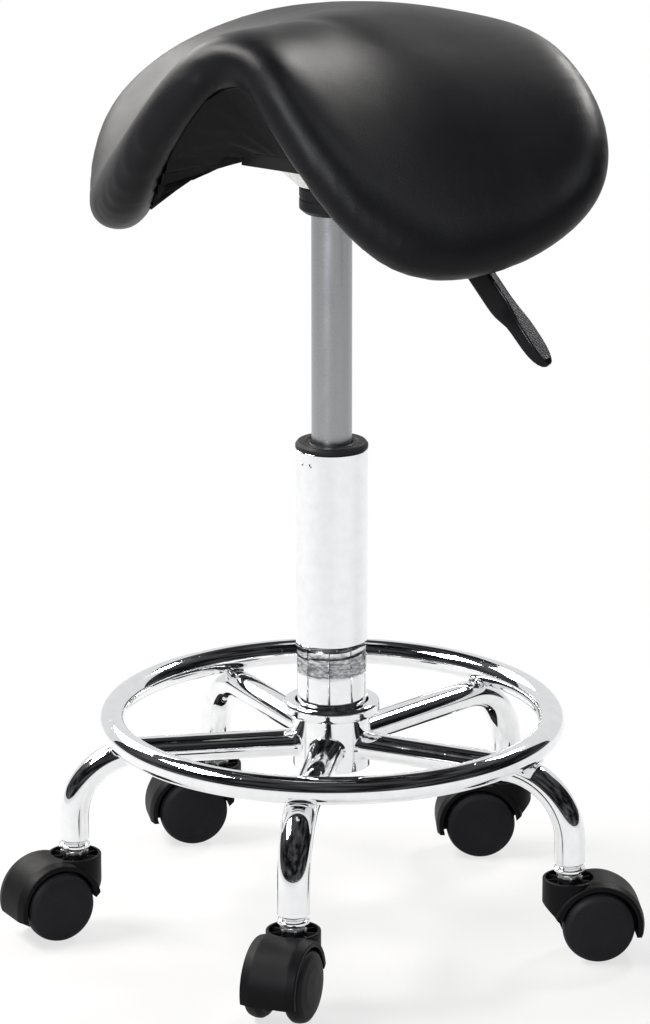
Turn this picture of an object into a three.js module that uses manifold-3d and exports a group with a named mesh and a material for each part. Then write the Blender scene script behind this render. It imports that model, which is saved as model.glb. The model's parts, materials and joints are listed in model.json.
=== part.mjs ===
// Saddle stool on a five-leg caster base, in millimetres.
// +Z is up, the floor is z = 0 and the seat's front looks along -Y.
import * as THREE from 'three';
import { mergeVertices } from 'three/addons/utils/BufferGeometryUtils.js';
import Module from 'manifold-3d';

const wasm = await Module();
wasm.setup();

// Driving dimensions

// Where the column stands, measured from the middle of the stool's footprint
const columnX = -8.93;
const columnY = 5.94;

// Fits: a seated piece, a piece that turns, and how far a cutter overruns
const seatGap = 0.3;
const turnGap = 0.5;
const runGap = 0.6;
const overrun = 2;

// Facets of round pieces
const roundSides = 28;
const ringSides = 48;
const wheelSides = 16;
const pinSides = 16;
const tubeSides = 12;
const holeSides = 12;
const hexSides = 6;
const bendSteps = 5;

// Casters
const trailAngles = [-75.1, 39.9, -142.1, -134.1, -115.1];
const trail = 19;
const wheelRadius = 25;
const wheelWidth = 13.5;
const wheelDish = 2;
const axleRadius = 3;
const axleInset = 3;
const stemRadius = 5;
const webSkin = 0.9;
const webHalf = stemRadius + turnGap + webSkin;
const wheelInner = webHalf + runGap;
const wheelRim = wheelInner + wheelWidth;
const wheelFace = wheelRim + wheelDish;
const axleHalf = wheelRim - axleInset;
const wheelRoom = 1.5;
const hoodWall = 5.5;
const hoodInset = 1;
const hoodDrop = 7;
const hoodRadius = wheelRadius + wheelRoom + hoodWall;
const hoodHalf = wheelRim - hoodInset;
const hoodBottom = wheelRadius - hoodDrop;
const chinHeight = 11;
const chinReach = 16.8;
const bossRadius = 18.6;
const bossRise = 31.5;
const bossTop = wheelRadius + bossRise;
const bossCup = 7.5;
const bossLip = 2.3;
const coreWall = 3.1;
const bossCore = stemRadius + turnGap + coreWall;
const stemInBoss = 22.5;
const stemBottom = bossTop - stemInBoss;
const stemRim = 3;
const stemCollarRadius = stemRadius + stemRim;
const stemCollar = 2.6;

// Sockets that hold the stems in the legs' ends
const socketLip = 7;
const socketGroove = 1.8;
const socketReach = 14;
const socketEdge = 0.75;
const lipGap = 1.3;
const legEnd = bossTop + seatGap + stemCollar + lipGap + socketLip + seatGap;
const stemInLeg = 22;
const stemTop = legEnd + stemInLeg;

// Base frame
const legCount = 5;
const legTurn = 27.8;
const legDrop = 14.8;
const legBend = 46;
const legLevel = legEnd + legDrop + legBend;
const legWidth = 23.5;
const legHeight = 18.4;
const legEndWidth = 22.5;
const legEndDepth = 20.3;
const legWall = 1.5;
const ringRadius = 153.3;
const ringTube = 9.5;
const ringInset = 28.7;
const stemCircle = ringRadius + ringInset;
const socketRadius = Math.min(legEndWidth, legEndDepth) / 2 + socketEdge;

// Hub that holds the legs and the column's taper
const columnRadius = 25;
const columnTaper = 0.8;
const columnFootRadius = columnRadius - columnTaper;
const hubWall = 2.5;
const hubRadius = columnFootRadius + seatGap + hubWall;
const hubFlange = 6.5;
const hubFlangeRadius = hubRadius + hubFlange;
const hubFlangeHeight = 9.3;
const hubRounding = 2.5;
const hubRise = 31;
const hubTop = legLevel + hubRise;
const hubDrop = 16.8;
const hubBottom = legLevel - hubDrop;

// Column, its guide bush and the bearing on its floor
const columnWall = 2;
const columnDrop = 9.8;
const columnBottom = legLevel - columnDrop;
const taperRise = 16.2;
const columnTaperTop = hubTop + taperRise;
const columnTop = 341;
const columnFloor = 3;
const rimOverhang = 0.2;
const bushRimRadius = columnRadius + rimOverhang;
const bushRim = 4.4;
const bushLength = 76;
const bearingHeight = 5;
const bearingRadius = 12;

// Seat plate: a pressed pan with a flange, and its bolts
const plateTop = 552;
const plateSheet = 3;
const plateLength = 120;
const plateDepth = 88;
const flangeLength = 13;
const flangeDepth = 5;
const panLength = plateLength - 2 * flangeLength;
const panDepth = plateDepth - 2 * flangeDepth;
const eyeRadius = 4;
const eyeCover = 1;
const panHeight = plateSheet + turnGap + 2 * eyeRadius + eyeCover;
const boltInset = 6.5;
const boltSide = 14;
const boltX = plateLength / 2 - boltInset;
const boltY = plateDepth / 2 - boltSide;
const boltRadius = 3;
const boltReach = 10;
const boltHeadRadius = 5.6;
const boltHead = 4;

// Height lever on its pivot between the plate's ears
const pivotInset = 7;
const pivotX = panLength / 2 - pivotInset;
const pivotZ = plateTop - eyeCover - eyeRadius;
const pinRadius = 2;
const earWidth = 2.8;
const armWidth = 5;
const armThickness = 3.5;
const armNose = -3;
const bendBeyond = 2.5;
const bendX = plateLength / 2 + bendBeyond;
const leverFall = 48.3;
const handleStart = 50;
const handleLength = 117;
const handleDepth = 17.4;
const handleWidth = 15;
const pocketDepth = 34;

// Gas spring: rod, piston, clip, tube, gland and release button
const rodRadius = 5;
const rodStep = 1;
const rodEndRadius = rodRadius - rodStep;
const rodTail = 5;
const rodEnd = columnBottom - rodTail;
const rodCollarRim = 5;
const rodCollarRadius = rodRadius + rodCollarRim;
const rodCollar = 3.4;
const rodNeck = 2;
const clipGroove = 0.8;
const clipGrooveRadius = rodEndRadius - clipGroove;
const clipRim = 3;
const clipRadius = rodEndRadius + clipRim;
const clipThickness = 1.8;
const tubeRadius = 14;
const tubeTaper = 0.9;
const tubeTopRadius = tubeRadius - tubeTaper;
const tubeWall = 1.7;
const tubeInColumn = 66;
const tubeBottom = columnTop - tubeInColumn;
const buttonRadius = 3.2;
const buttonLength = 20;
const buttonDrop = 1.8;
const buttonProud = 5.4;
const buttonTop = pivotZ - buttonDrop;
const tubeTop = buttonTop - buttonProud;
const tubeCap = 4;
const glandHeight = 10;
const pistonHeight = 10;

// Socket between the gas spring and the plate: cone and collar
const tubeGrip = 33.6;
const collarBottom = tubeTop - tubeGrip;
const collarHeight = 18.5;
const collarFloor = 2.5;
const spoutWall = 4.5;
const collarWall = 3.7;
const spoutRadius = tubeRadius + spoutWall;
const collarRadius = spoutRadius + collarWall;
const coneInset = 1;
const coneTopRadius = panDepth / 2 - coneInset;
const coneFlare = 5.5;
const coneRise = 19.8;
const coneMidRadius = spoutRadius + coneFlare;
const coneMid = collarBottom + coneRise;

// Seat
const seatFront = 122.2;
const seatBack = 158.5;
const seatHalfWidth = 201;
const seatRise = 56.7;
const seatLevel = plateTop + seatRise;
const spineRise = 21.4;
const ridgeRadius = 137;
const padThickness = 41.5;
const padPole = 10;
const coverThickness = 1.2;
const boardThickness = 9;
const plateMargin = 7;
const archNear = 60;
const archFar = 140;

// Seat outline from the front tip round one side to the back tip, as shares of its reach
const outlineShares = [
  [0.93, 0], [1, 0.194], [0.916, 0.438], [0.59, 0.703], [-0.185, 1], [-0.67, 0.608], [-1, 0],
];
// Along the middle from back to front: place, height, side slope and ridge radius
const spineStationShares = [-1, -0.62, -0.1, 0.573, 1.023];
const spineHeightShares = [-0.84, 0.1, 0.46, 0.65, 1];
const slopeStationShares = [-1, -0.19, 0.573, 1.023];
const sideSlopeShares = [0.05, 0.47, 1.08, 1.51];
const ridgeShares = [1, 0.339, 0.175, 0.172];
// Rings of the pad from its middle to the rim and back to the staple seam, and rings of the underside
const padShares = [0.1, 0.3, 0.5, 0.65, 0.76, 0.84, 0.89, 0.93, 0.96, 0.98, 0.992, 1];
const hemShares = [0.992, 0.98, 0.96, 0.93, 0.89, 0.86];
const seamShare = 0.86;
const flatShare = 0.48;
const webShare = 0.67;
const boardShare = 0.85;
const foldShare = 0.85;
const archShare = 0.35;
const stepShare = 0.0125;
const platePower = 6;
const seatSides = 40;

// Wheel section from the tread's inner edge to the outer face: radius and place across the rim
const wheelShares = [[0.9, 0], [1, 0.25], [1, 0.75], [0.93, 1], [0.5, 1.12]];
// Hood section from its middle to its side: radius and place across
const hoodShares = [[1, 0.6], [0.88, 1]];
// Lever handle from its root to its tip: along, underside, top and half width
const handleShares = [
  [0, -0.5, 0.5, 0.27], [0.55, -0.5, 0.5, 0.27], [0.62, -0.42, 0.5, 0.35], [0.72, -0.13, 0.5, 0.5],
  [0.9, -0.12, 0.5, 0.5], [0.96, -0.02, 0.46, 0.4], [0.99, 0.08, 0.42, 0.25], [1, 0.2, 0.36, 0.12],
];

// Finishes
const chrome = new THREE.MeshStandardMaterial({ color: 0xd8dcdf, metalness: 1, roughness: 0.08 });
const satinSteel = new THREE.MeshStandardMaterial({ color: 0xa8acb0, metalness: 1, roughness: 0.35 });
const zincSteel = new THREE.MeshStandardMaterial({ color: 0xc4c6c4, metalness: 1, roughness: 0.3 });
const blackPaint = new THREE.MeshStandardMaterial({ color: 0x131313, metalness: 0.2, roughness: 0.5 });
const blackPlastic = new THREE.MeshStandardMaterial({ color: 0x1a1a1c, metalness: 0, roughness: 0.55 });
const glossPlastic = new THREE.MeshStandardMaterial({ color: 0x0d0d0e, metalness: 0, roughness: 0.2 });
const leather = new THREE.MeshStandardMaterial({ color: 0x151517, metalness: 0, roughness: 0.45 });
const cloth = new THREE.MeshStandardMaterial({ color: 0x2a2a2c, metalness: 0, roughness: 0.95 });
const plywood = new THREE.MeshStandardMaterial({ color: 0xb58c5a, metalness: 0, roughness: 0.8 });

const stool = new THREE.Group();
const radians = THREE.MathUtils.degToRad;

// Meshes and solids

// Keeps only merged positions, drops flat slivers and turns the faces outwards.
function closed(geometry) {
  const bare = geometry.clone();
  bare.deleteAttribute('normal');
  bare.deleteAttribute('uv');
  const merged = mergeVertices(bare);
  const place = merged.attributes.position;
  const kept = [];
  let volume = 0;
  const [a, b, c] = [new THREE.Vector3(), new THREE.Vector3(), new THREE.Vector3()];
  for (let i = 0; i < merged.index.count; i += 3) {
    const corner = [0, 1, 2].map((k) => merged.index.getX(i + k));
    if (new Set(corner).size < 3) continue;
    kept.push(corner);
    a.fromBufferAttribute(place, corner[0]);
    b.fromBufferAttribute(place, corner[1]);
    c.fromBufferAttribute(place, corner[2]);
    volume += a.dot(b.cross(c));
  }
  const facing = volume < 0 ? kept.map(([p, q, r]) => [p, r, q]) : kept;
  merged.setIndex(facing.flat());
  merged.computeVertexNormals();
  return merged;
}

function toSolid(geometry) {
  const ready = closed(geometry);
  const vertProperties = new Float32Array(ready.attributes.position.array);
  const triVerts = new Uint32Array(ready.index.array);
  return new wasm.Manifold(new wasm.Mesh({ numProp: 3, vertProperties, triVerts }));
}

function fromSolid(solid) {
  const mesh = solid.getMesh();
  const geometry = new THREE.BufferGeometry();
  geometry.setAttribute('position', new THREE.BufferAttribute(new Float32Array(mesh.vertProperties), 3));
  geometry.setIndex(new THREE.BufferAttribute(new Uint32Array(mesh.triVerts), 1));
  geometry.computeVertexNormals();
  return geometry;
}

function cut(base, ...cutters) {
  return fromSolid(cutters.reduce((solid, cutter) => solid.subtract(toSolid(cutter)), toSolid(base)));
}

function join(base, ...others) {
  return fromSolid(others.reduce((solid, other) => solid.add(toSolid(other)), toSolid(base)));
}

// Turns a closed list of [radius, height] points about +Z.
function turned(profile, sides = roundSides) {
  const points = profile.map(([radius, height]) => new THREE.Vector2(radius, height));
  points.push(points[0].clone());
  return closed(new THREE.LatheGeometry(points, sides).rotateX(Math.PI / 2));
}

// A ring or sleeve with plain walls.
function sleeve(inner, outer, low, high, sides = roundSides) {
  return turned([[inner, low], [outer, low], [outer, high], [inner, high]], sides);
}

function rod(radius, low, high, sides = roundSides) {
  return closed(new THREE.CylinderGeometry(radius, radius, high - low, sides)
    .rotateX(Math.PI / 2)
    .translate(0, 0, (low + high) / 2));
}

// A round bar along Y at a place in X and Z.
function crossRod(radius, low, high, x, z, sides) {
  return new THREE.CylinderGeometry(radius, radius, high - low, sides).translate(x, (low + high) / 2, z);
}

// An outline of [x, z] points drawn out evenly to both sides along Y.
function slab(outline, width) {
  const shape = new THREE.Shape(outline.map(([x, z]) => new THREE.Vector2(x, z)));
  return new THREE.ExtrudeGeometry(shape, { depth: width, bevelEnabled: false, steps: 1 })
    .rotateX(Math.PI / 2)
    .translate(0, width / 2, 0);
}

function box(lowX, highX, lowY, highY, lowZ, highZ) {
  return new THREE.BoxGeometry(highX - lowX, highY - lowY, highZ - lowZ)
    .translate((lowX + highX) / 2, (lowY + highY) / 2, (lowZ + highZ) / 2);
}

// Skins rings of points: capped at both ends, or joined last to first as a hollow piece.
// Each four-sided patch is split across its shorter way, so stacked layers match.
function skinned(rings, hollow = false) {
  const sides = rings[0].length;
  const places = rings.flat();
  const index = [];
  const last = hollow ? rings.length : rings.length - 1;
  for (let i = 0; i < last; i += 1) {
    const low = i * sides;
    const high = ((i + 1) % rings.length) * sides;
    for (let j = 0; j < sides; j += 1) {
      const next = (j + 1) % sides;
      const [p, q, r, t] = [low + j, low + next, high + next, high + j];
      const straight = places[p].distanceTo(places[r]) <= places[q].distanceTo(places[t]);
      index.push(...(straight ? [p, q, r, p, r, t] : [p, q, t, q, r, t]));
    }
  }
  if (!hollow) {
    for (const [ring, flip] of [[0, true], [rings.length - 1, false]]) {
      const middle = new THREE.Vector3();
      rings[ring].forEach((point) => middle.addScaledVector(point, 1 / sides));
      const pole = places.push(middle) - 1;
      for (let j = 0; j < sides; j += 1) {
        const [p, q] = [ring * sides + j, ring * sides + ((j + 1) % sides)];
        index.push(...(flip ? [pole, q, p] : [pole, p, q]));
      }
    }
  }
  const values = places.flatMap((place) => [place.x, place.y, place.z]);
  const geometry = new THREE.BufferGeometry();
  geometry.setAttribute('position', new THREE.Float32BufferAttribute(values, 3));
  geometry.setIndex(index);
  return closed(geometry);
}

// Cubic through values given at rising stations.
function along(stations, values, at) {
  const last = stations.length - 1;
  const x = Math.min(Math.max(at, stations[0]), stations[last]);
  let i = 0;
  while (i < last - 1 && x > stations[i + 1]) i += 1;
  const tangent = (k) => {
    const [before, after] = [Math.max(k - 1, 0), Math.min(k + 1, last)];
    return (values[after] - values[before]) / (stations[after] - stations[before]);
  };
  const span = stations[i + 1] - stations[i];
  const t = (x - stations[i]) / span;
  const [tt, ttt] = [t * t, t * t * t];
  return (2 * ttt - 3 * tt + 1) * values[i] + (ttt - 2 * tt + t) * span * tangent(i)
    + (3 * tt - 2 * ttt) * values[i + 1] + (ttt - tt) * span * tangent(i + 1);
}

function add(name, geometry, material, parent = stool) {
  const mesh = new THREE.Mesh(geometry, material);
  mesh.name = name;
  parent.add(mesh);
  return mesh;
}

// A group that stands at an angle about +Z, counted from -Y towards +X.
function spoke(degrees, radius) {
  const group = new THREE.Group();
  const angle = radians(degrees);
  group.position.set(radius * Math.sin(angle), -radius * Math.cos(angle), 0);
  stool.add(group);
  return group;
}

// Hub, column and legs

function columnOuter(height) {
  const share = (height - columnBottom) / (columnTaperTop - columnBottom);
  return THREE.MathUtils.lerp(columnFootRadius, columnRadius, Math.min(Math.max(share, 0), 1));
}

function hub() {
  const flangeLow = hubTop - hubFlangeHeight;
  const bore = (height) => columnOuter(height) + seatGap;
  return turned([
    [bore(hubBottom), hubBottom],
    [hubRadius, hubBottom],
    [hubRadius, flangeLow],
    [hubFlangeRadius - hubRounding, flangeLow],
    [hubFlangeRadius, flangeLow + hubRounding],
    [hubFlangeRadius, hubTop - hubRounding],
    [hubFlangeRadius - hubRounding, hubTop],
    [bore(hubTop) + hubRounding / 2, hubTop],
    [bore(flangeLow), flangeLow],
  ]);
}

function columnTube() {
  const wall = (height) => columnOuter(height) - columnWall;
  const floorTop = columnBottom + columnFloor;
  return turned([
    [rodEndRadius + runGap, columnBottom],
    [columnFootRadius, columnBottom],
    [columnRadius, columnTaperTop],
    [columnRadius, columnTop],
    [columnRadius - columnWall, columnTop],
    [columnRadius - columnWall, columnTaperTop],
    [wall(floorTop), floorTop],
    [rodEndRadius + runGap, floorTop],
  ]);
}

// The leg's middle line: out level from the hub, round the bend and straight down.
function legPath() {
  const stations = [{ along: hubRadius, z: legLevel, fall: 0 }];
  const bendStart = stemCircle - legBend;
  for (let i = 0; i <= bendSteps; i += 1) {
    const fall = (Math.PI / 2) * (i / bendSteps);
    const reach = bendStart + legBend * Math.sin(fall);
    stations.push({ along: reach, z: legLevel - legBend * (1 - Math.cos(fall)), fall });
  }
  stations.push({ along: stemCircle, z: legEnd, fall: Math.PI / 2 });
  return stations;
}

function legSection(fall, shrink) {
  const share = fall / (Math.PI / 2);
  return {
    width: THREE.MathUtils.lerp(legWidth, legEndWidth, share) / 2 - shrink,
    height: THREE.MathUtils.lerp(legHeight, legEndDepth, share) / 2 - shrink,
  };
}

// One oval ring square to the leg; the first ring is coped to the hub's round side.
function legRing(station, shrink, first) {
  const { width, height } = legSection(station.fall, shrink);
  return Array.from({ length: tubeSides }, (_, i) => {
    const angle = (2 * Math.PI * (i + 0.5)) / tubeSides;
    const side = width * Math.cos(angle);
    const lift = height * Math.sin(angle);
    const cope = Math.sqrt((hubRadius + seatGap) ** 2 - side ** 2);
    const reach = first ? cope : station.along + lift * Math.sin(station.fall);
    return new THREE.Vector3(side, -reach, station.z + lift * Math.cos(station.fall));
  });
}

function leg() {
  const path = legPath();
  const outer = path.map((station, i) => legRing(station, 0, i === 0));
  const inner = path.map((station, i) => legRing(station, legWall, i === 0)).reverse();
  return skinned([...outer, ...inner], true);
}

// Height of a line of [along, height] points at a place along it.
function lineHeight(line, at) {
  const next = Math.max(line.findIndex(([place]) => place >= at), 1);
  const [low, high] = [line[next - 1], line[next]];
  const share = (at - low[0]) / (high[0] - low[0]);
  return THREE.MathUtils.lerp(low[1], high[1], share);
}

// The line along the top facets of a leg.
function legCrest() {
  return legPath().map(({ along: reach, z, fall }) => {
    const lift = legSection(fall, 0).height * Math.cos(Math.PI / tubeSides);
    return [reach + lift * Math.sin(fall), z + lift * Math.cos(fall)];
  });
}

// The foot ring drops until the facets of its underside meet the legs.
function ringLevel() {
  const crest = legCrest();
  const underside = Array.from({ length: tubeSides / 2 + 1 }, (_, i) => {
    const angle = (2 * Math.PI * i) / tubeSides - Math.PI / 2;
    return [ringRadius + ringTube * Math.sin(angle), ringTube * Math.cos(angle)];
  });
  const corners = crest.filter(([place]) => Math.abs(place - ringRadius) < ringTube);
  const places = [...underside, ...corners].map(([place]) => place);
  return Math.max(...places.map((at) => lineHeight(crest, at) + lineHeight(underside, at))) + seatGap;
}

function footRing() {
  return closed(new THREE.TorusGeometry(ringRadius, ringTube, tubeSides, ringSides)
    .translate(0, 0, ringLevel()));
}

// Gas spring

const floorTop = columnBottom + columnFloor;
const bearingTop = floorTop + seatGap + bearingHeight;
const collarTopOfRod = bearingTop + seatGap + rodCollar;
const glandBottom = tubeBottom + tubeWall;
const glandTop = glandBottom + glandHeight;
const pistonBottom = glandTop + runGap;

function guideBush() {
  const bore = tubeRadius + runGap;
  const sleeveRadius = columnRadius - columnWall - seatGap;
  const rimLow = columnTop + seatGap;
  return turned([
    [bore, columnTop - bushLength],
    [sleeveRadius, columnTop - bushLength],
    [sleeveRadius, rimLow],
    [bushRimRadius, rimLow],
    [bushRimRadius, rimLow + bushRim],
    [bore, rimLow + bushRim],
  ]);
}

function thrustBearing() {
  return sleeve(rodEndRadius + runGap, bearingRadius, floorTop + seatGap, bearingTop, pinSides);
}

function pistonRod() {
  const clipTop = columnBottom - seatGap;
  const clipLow = clipTop - clipThickness;
  const shoulder = pistonBottom - seatGap;
  return turned([
    [0, rodEnd],
    [rodEndRadius, rodEnd],
    [rodEndRadius, clipLow - seatGap],
    [clipGrooveRadius, clipLow - seatGap],
    [clipGrooveRadius, clipTop + seatGap],
    [rodEndRadius, clipTop + seatGap],
    [rodEndRadius, bearingTop + seatGap],
    [rodCollarRadius, bearingTop + seatGap],
    [rodCollarRadius, collarTopOfRod],
    [rodRadius, collarTopOfRod],
    [rodRadius, shoulder],
    [rodEndRadius, shoulder],
    [rodEndRadius, pistonBottom + pistonHeight + rodNeck],
    [0, pistonBottom + pistonHeight + rodNeck],
  ], pinSides);
}

function retainingClip() {
  const top = columnBottom - seatGap;
  return sleeve(clipGrooveRadius + seatGap, clipRadius, top - clipThickness, top, pinSides);
}

function piston() {
  const wall = tubeRadius - tubeWall;
  return sleeve(rodEndRadius + seatGap, wall - seatGap, pistonBottom, pistonBottom + pistonHeight, pinSides);
}

// The pressure tube narrows where the seat's socket grips it.
function tubeOuter(height) {
  const share = (height - collarBottom) / (tubeTop - collarBottom);
  return THREE.MathUtils.lerp(tubeRadius, tubeTopRadius, Math.min(Math.max(share, 0), 1));
}

function gasTube() {
  const bore = tubeTopRadius - tubeWall;
  return turned([
    [tubeRadius - tubeWall, tubeBottom],
    [tubeRadius, tubeBottom],
    [tubeRadius, collarBottom],
    [tubeTopRadius, tubeTop],
    [buttonRadius + seatGap, tubeTop],
    [buttonRadius + seatGap, tubeTop - tubeCap],
    [bore, tubeTop - tubeCap],
    [tubeRadius - tubeWall, collarBottom],
  ]);
}

function gland() {
  return sleeve(rodRadius + seatGap, tubeRadius - tubeWall - seatGap, glandBottom, glandTop, pinSides);
}

function releaseButton() {
  return rod(buttonRadius, buttonTop - buttonLength, buttonTop, pinSides);
}

// Seat socket and plate

const panBottom = plateTop - panHeight;
const panFloorTop = panBottom + plateSheet;
const flangeBottom = plateTop - plateSheet;

function coneSocket() {
  const top = panBottom - seatGap;
  const spoutTop = collarBottom + collarHeight;
  const bottom = collarBottom + collarFloor + seatGap;
  return turned([
    [tubeOuter(bottom) + seatGap, bottom],
    [spoutRadius, bottom],
    [spoutRadius, spoutTop],
    [coneMidRadius, coneMid],
    [coneTopRadius, top],
    [tubeOuter(top) + seatGap, top],
  ]);
}

function socketCollar() {
  const rounding = collarFloor;
  const bore = tubeRadius + seatGap;
  return turned([
    [bore, collarBottom],
    [collarRadius - rounding, collarBottom],
    [collarRadius, collarBottom + rounding],
    [collarRadius, collarBottom + collarHeight - seatGap],
    [spoutRadius + seatGap, collarBottom + collarHeight - seatGap],
    [spoutRadius + seatGap, collarBottom + collarFloor],
    [bore, collarBottom + collarFloor],
  ]);
}

// Ears that stand on the plate's floor and carry the lever's pin.
function ear(side) {
  const inner = armWidth / 2 + seatGap;
  const [low, high] = [side * inner, side * (inner + earWidth)];
  const [lowY, highY] = [Math.min(low, high), Math.max(low, high)];
  const [front, back] = [pivotX - eyeRadius, pivotX + eyeRadius];
  const body = box(front, back, lowY, highY, panFloorTop - seatGap, pivotZ + eyeRadius);
  const bore = crossRod(pinRadius + seatGap, lowY - overrun, highY + overrun, pivotX, pivotZ, holeSides);
  return cut(body, bore);
}

function seatPlate() {
  const sheet = (length, depth, low, high) => box(-length / 2, length / 2, -depth / 2, depth / 2, low, high);
  const shell = join(
    sheet(plateLength, plateDepth, flangeBottom, plateTop),
    sheet(panLength, panDepth, panBottom, plateTop),
  );
  const inside = sheet(
    panLength - 2 * plateSheet,
    panDepth - 2 * plateSheet,
    panFloorTop,
    plateTop + overrun,
  );
  const mouth = rod(tubeRadius + runGap, panBottom - overrun, panFloorTop + overrun);
  const slotHalf = armWidth / 2 + runGap;
  const slot = box(
    panLength / 2 - plateSheet - overrun,
    plateLength / 2 + overrun,
    -slotHalf,
    slotHalf,
    pivotZ - eyeRadius,
    plateTop + overrun,
  );
  const holes = boltPlaces().map(([x, y]) => (
    rod(boltRadius + seatGap, flangeBottom - overrun, plateTop + overrun, holeSides).translate(x, y, 0)
  ));
  return join(cut(shell, inside, mouth, slot, ...holes), ear(1), ear(-1));
}

function boltPlaces() {
  return [[1, 1], [-1, 1], [-1, -1], [1, -1]].map(([x, y]) => [x * boltX, y * boltY]);
}

function plateBolt(x, y) {
  const headTop = flangeBottom - seatGap;
  const head = rod(boltHeadRadius, headTop - boltHead, headTop, hexSides);
  const shank = rod(boltRadius, headTop - boltHead / 2, plateTop + boltReach, holeSides);
  return join(head, shank).translate(x, y, 0);
}

// Lever

function leverLine(distance, offset) {
  const fall = radians(leverFall);
  return [
    bendX + distance * Math.cos(fall) + offset * Math.sin(fall),
    pivotZ + armRise() - distance * Math.sin(fall) + offset * Math.cos(fall),
  ];
}

// The arm's middle lies a little above the pivot.
function armRise() {
  return (buttonTop + seatGap + armThickness / 2) - pivotZ;
}

function leverArm() {
  const half = armThickness / 2;
  const [lowZ, highZ] = [pivotZ + armRise() - half, pivotZ + armRise() + half];
  const bend = half * Math.tan(radians(leverFall) / 2);
  const end = handleStart + pocketDepth - seatGap;
  const bar = slab([
    [armNose, lowZ],
    [bendX - bend, lowZ],
    leverLine(end, -half),
    leverLine(end, half),
    [bendX + bend, highZ],
    [armNose, highZ],
  ], armWidth);
  const eye = crossRod(eyeRadius, -armWidth / 2, armWidth / 2, pivotX, pivotZ, pinSides);
  const bore = crossRod(pinRadius + seatGap, -armWidth, armWidth, pivotX, pivotZ, pinSides);
  return cut(join(bar, eye), bore);
}

// One rounded section of the handle: half its width across, and from its underside to its top.
function handleRing([distance, low, high, half]) {
  const [bottom, top] = [low * handleDepth, high * handleDepth];
  return Array.from({ length: tubeSides }, (_, i) => {
    const angle = (2 * Math.PI * (i + 0.5)) / tubeSides;
    const squared = (value) => Math.sign(value) * Math.sqrt(Math.abs(value));
    const across = squared(Math.cos(angle)) * half * handleWidth;
    const offset = (bottom + top) / 2 + (squared(Math.sin(angle)) * (top - bottom)) / 2;
    const [x, z] = leverLine(handleStart + distance * handleLength, offset);
    return new THREE.Vector3(x, across, z);
  });
}

function leverHandle() {
  const body = skinned(handleShares.map(handleRing));
  const [across, up] = [armWidth / 2 + seatGap, armThickness / 2 + seatGap];
  const pocket = new THREE.BoxGeometry(pocketDepth + overrun, 2 * across, 2 * up);
  const middle = leverLine(handleStart + (pocketDepth - overrun) / 2, 0);
  pocket.rotateY(radians(leverFall)).translate(middle[0], 0, middle[1]);
  return cut(body, pocket);
}

function leverPin() {
  const reach = armWidth / 2 + seatGap + earWidth + seatGap;
  return closed(crossRod(pinRadius, -reach, reach, pivotX, pivotZ, holeSides));
}

// Caster, with its stem on the origin and its wheels behind it along +X

function hoodProfile() {
  const side = hoodShares.map(([radius, across]) => [radius * hoodRadius, across * hoodHalf]);
  const other = side.slice().reverse().map(([radius, across]) => [radius, -across]);
  return [[0, -hoodHalf], ...other, ...side, [0, hoodHalf]];
}

// A closed profile of [radius, side] points turned about the axle.
function aboutAxle(profile, sides) {
  const points = profile.map(([radius, side]) => new THREE.Vector2(radius, side));
  return new THREE.LatheGeometry(points, sides)
    .rotateY(Math.PI / sides)
    .translate(trail, 0, wheelRadius);
}

function hood() {
  const cover = aboutAxle(hoodProfile(), wheelSides);
  const boss = rod(bossRadius, hoodBottom, bossTop, wheelSides);
  const far = 2 * (hoodRadius + trail);
  const below = box(-far, far, -far, far, -far, hoodBottom);
  const chin = slab([
    [-bossRadius - chinReach, hoodBottom + 2 * chinHeight],
    [-bossRadius - chinReach, hoodBottom - overrun],
    [chinReach - bossRadius, hoodBottom - overrun],
    [chinReach - bossRadius, hoodBottom],
  ], 2 * far);
  const room = [[webHalf, far], [-far, -webHalf]].map(([low, high]) => (
    crossRod(hoodRadius - hoodWall, low, high, trail, wheelRadius, wheelSides)
  ));
  const cup = sleeve(bossCore, bossRadius - bossLip, bossTop - bossCup, bossTop + overrun, wheelSides);
  const stemBore = rod(stemRadius + turnGap, stemBottom - seatGap, bossTop + overrun, pinSides);
  const axleBore = crossRod(axleRadius + seatGap, -far, far, trail, wheelRadius, pinSides);
  return cut(join(cover, boss), below, chin, ...room, cup, stemBore, axleBore);
}

// Facets are drawn round the tread's radius, so that a flat one rests on the floor.
function wheel(side) {
  const tread = wheelRadius / Math.cos(Math.PI / wheelSides);
  const bore = axleRadius + seatGap;
  const width = wheelRim - wheelInner;
  const profile = [
    [0, axleHalf + seatGap],
    [bore, axleHalf + seatGap],
    [bore, wheelInner],
    ...wheelShares.map(([radius, across]) => [radius * tread, wheelInner + across * width]),
    [0, wheelFace],
  ];
  return closed(aboutAxle(profile.map(([radius, y]) => [radius, side * y]), wheelSides));
}

function axle() {
  return closed(crossRod(axleRadius, -axleHalf, axleHalf, trail, wheelRadius, pinSides));
}

function stem() {
  const collarLow = bossTop + seatGap;
  return turned([
    [0, stemBottom],
    [stemRadius, stemBottom],
    [stemRadius, collarLow],
    [stemCollarRadius, collarLow],
    [stemCollarRadius, collarLow + stemCollar],
    [stemRadius, collarLow + stemCollar],
    [stemRadius, stemTop],
    [0, stemTop],
  ], pinSides);
}

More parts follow.
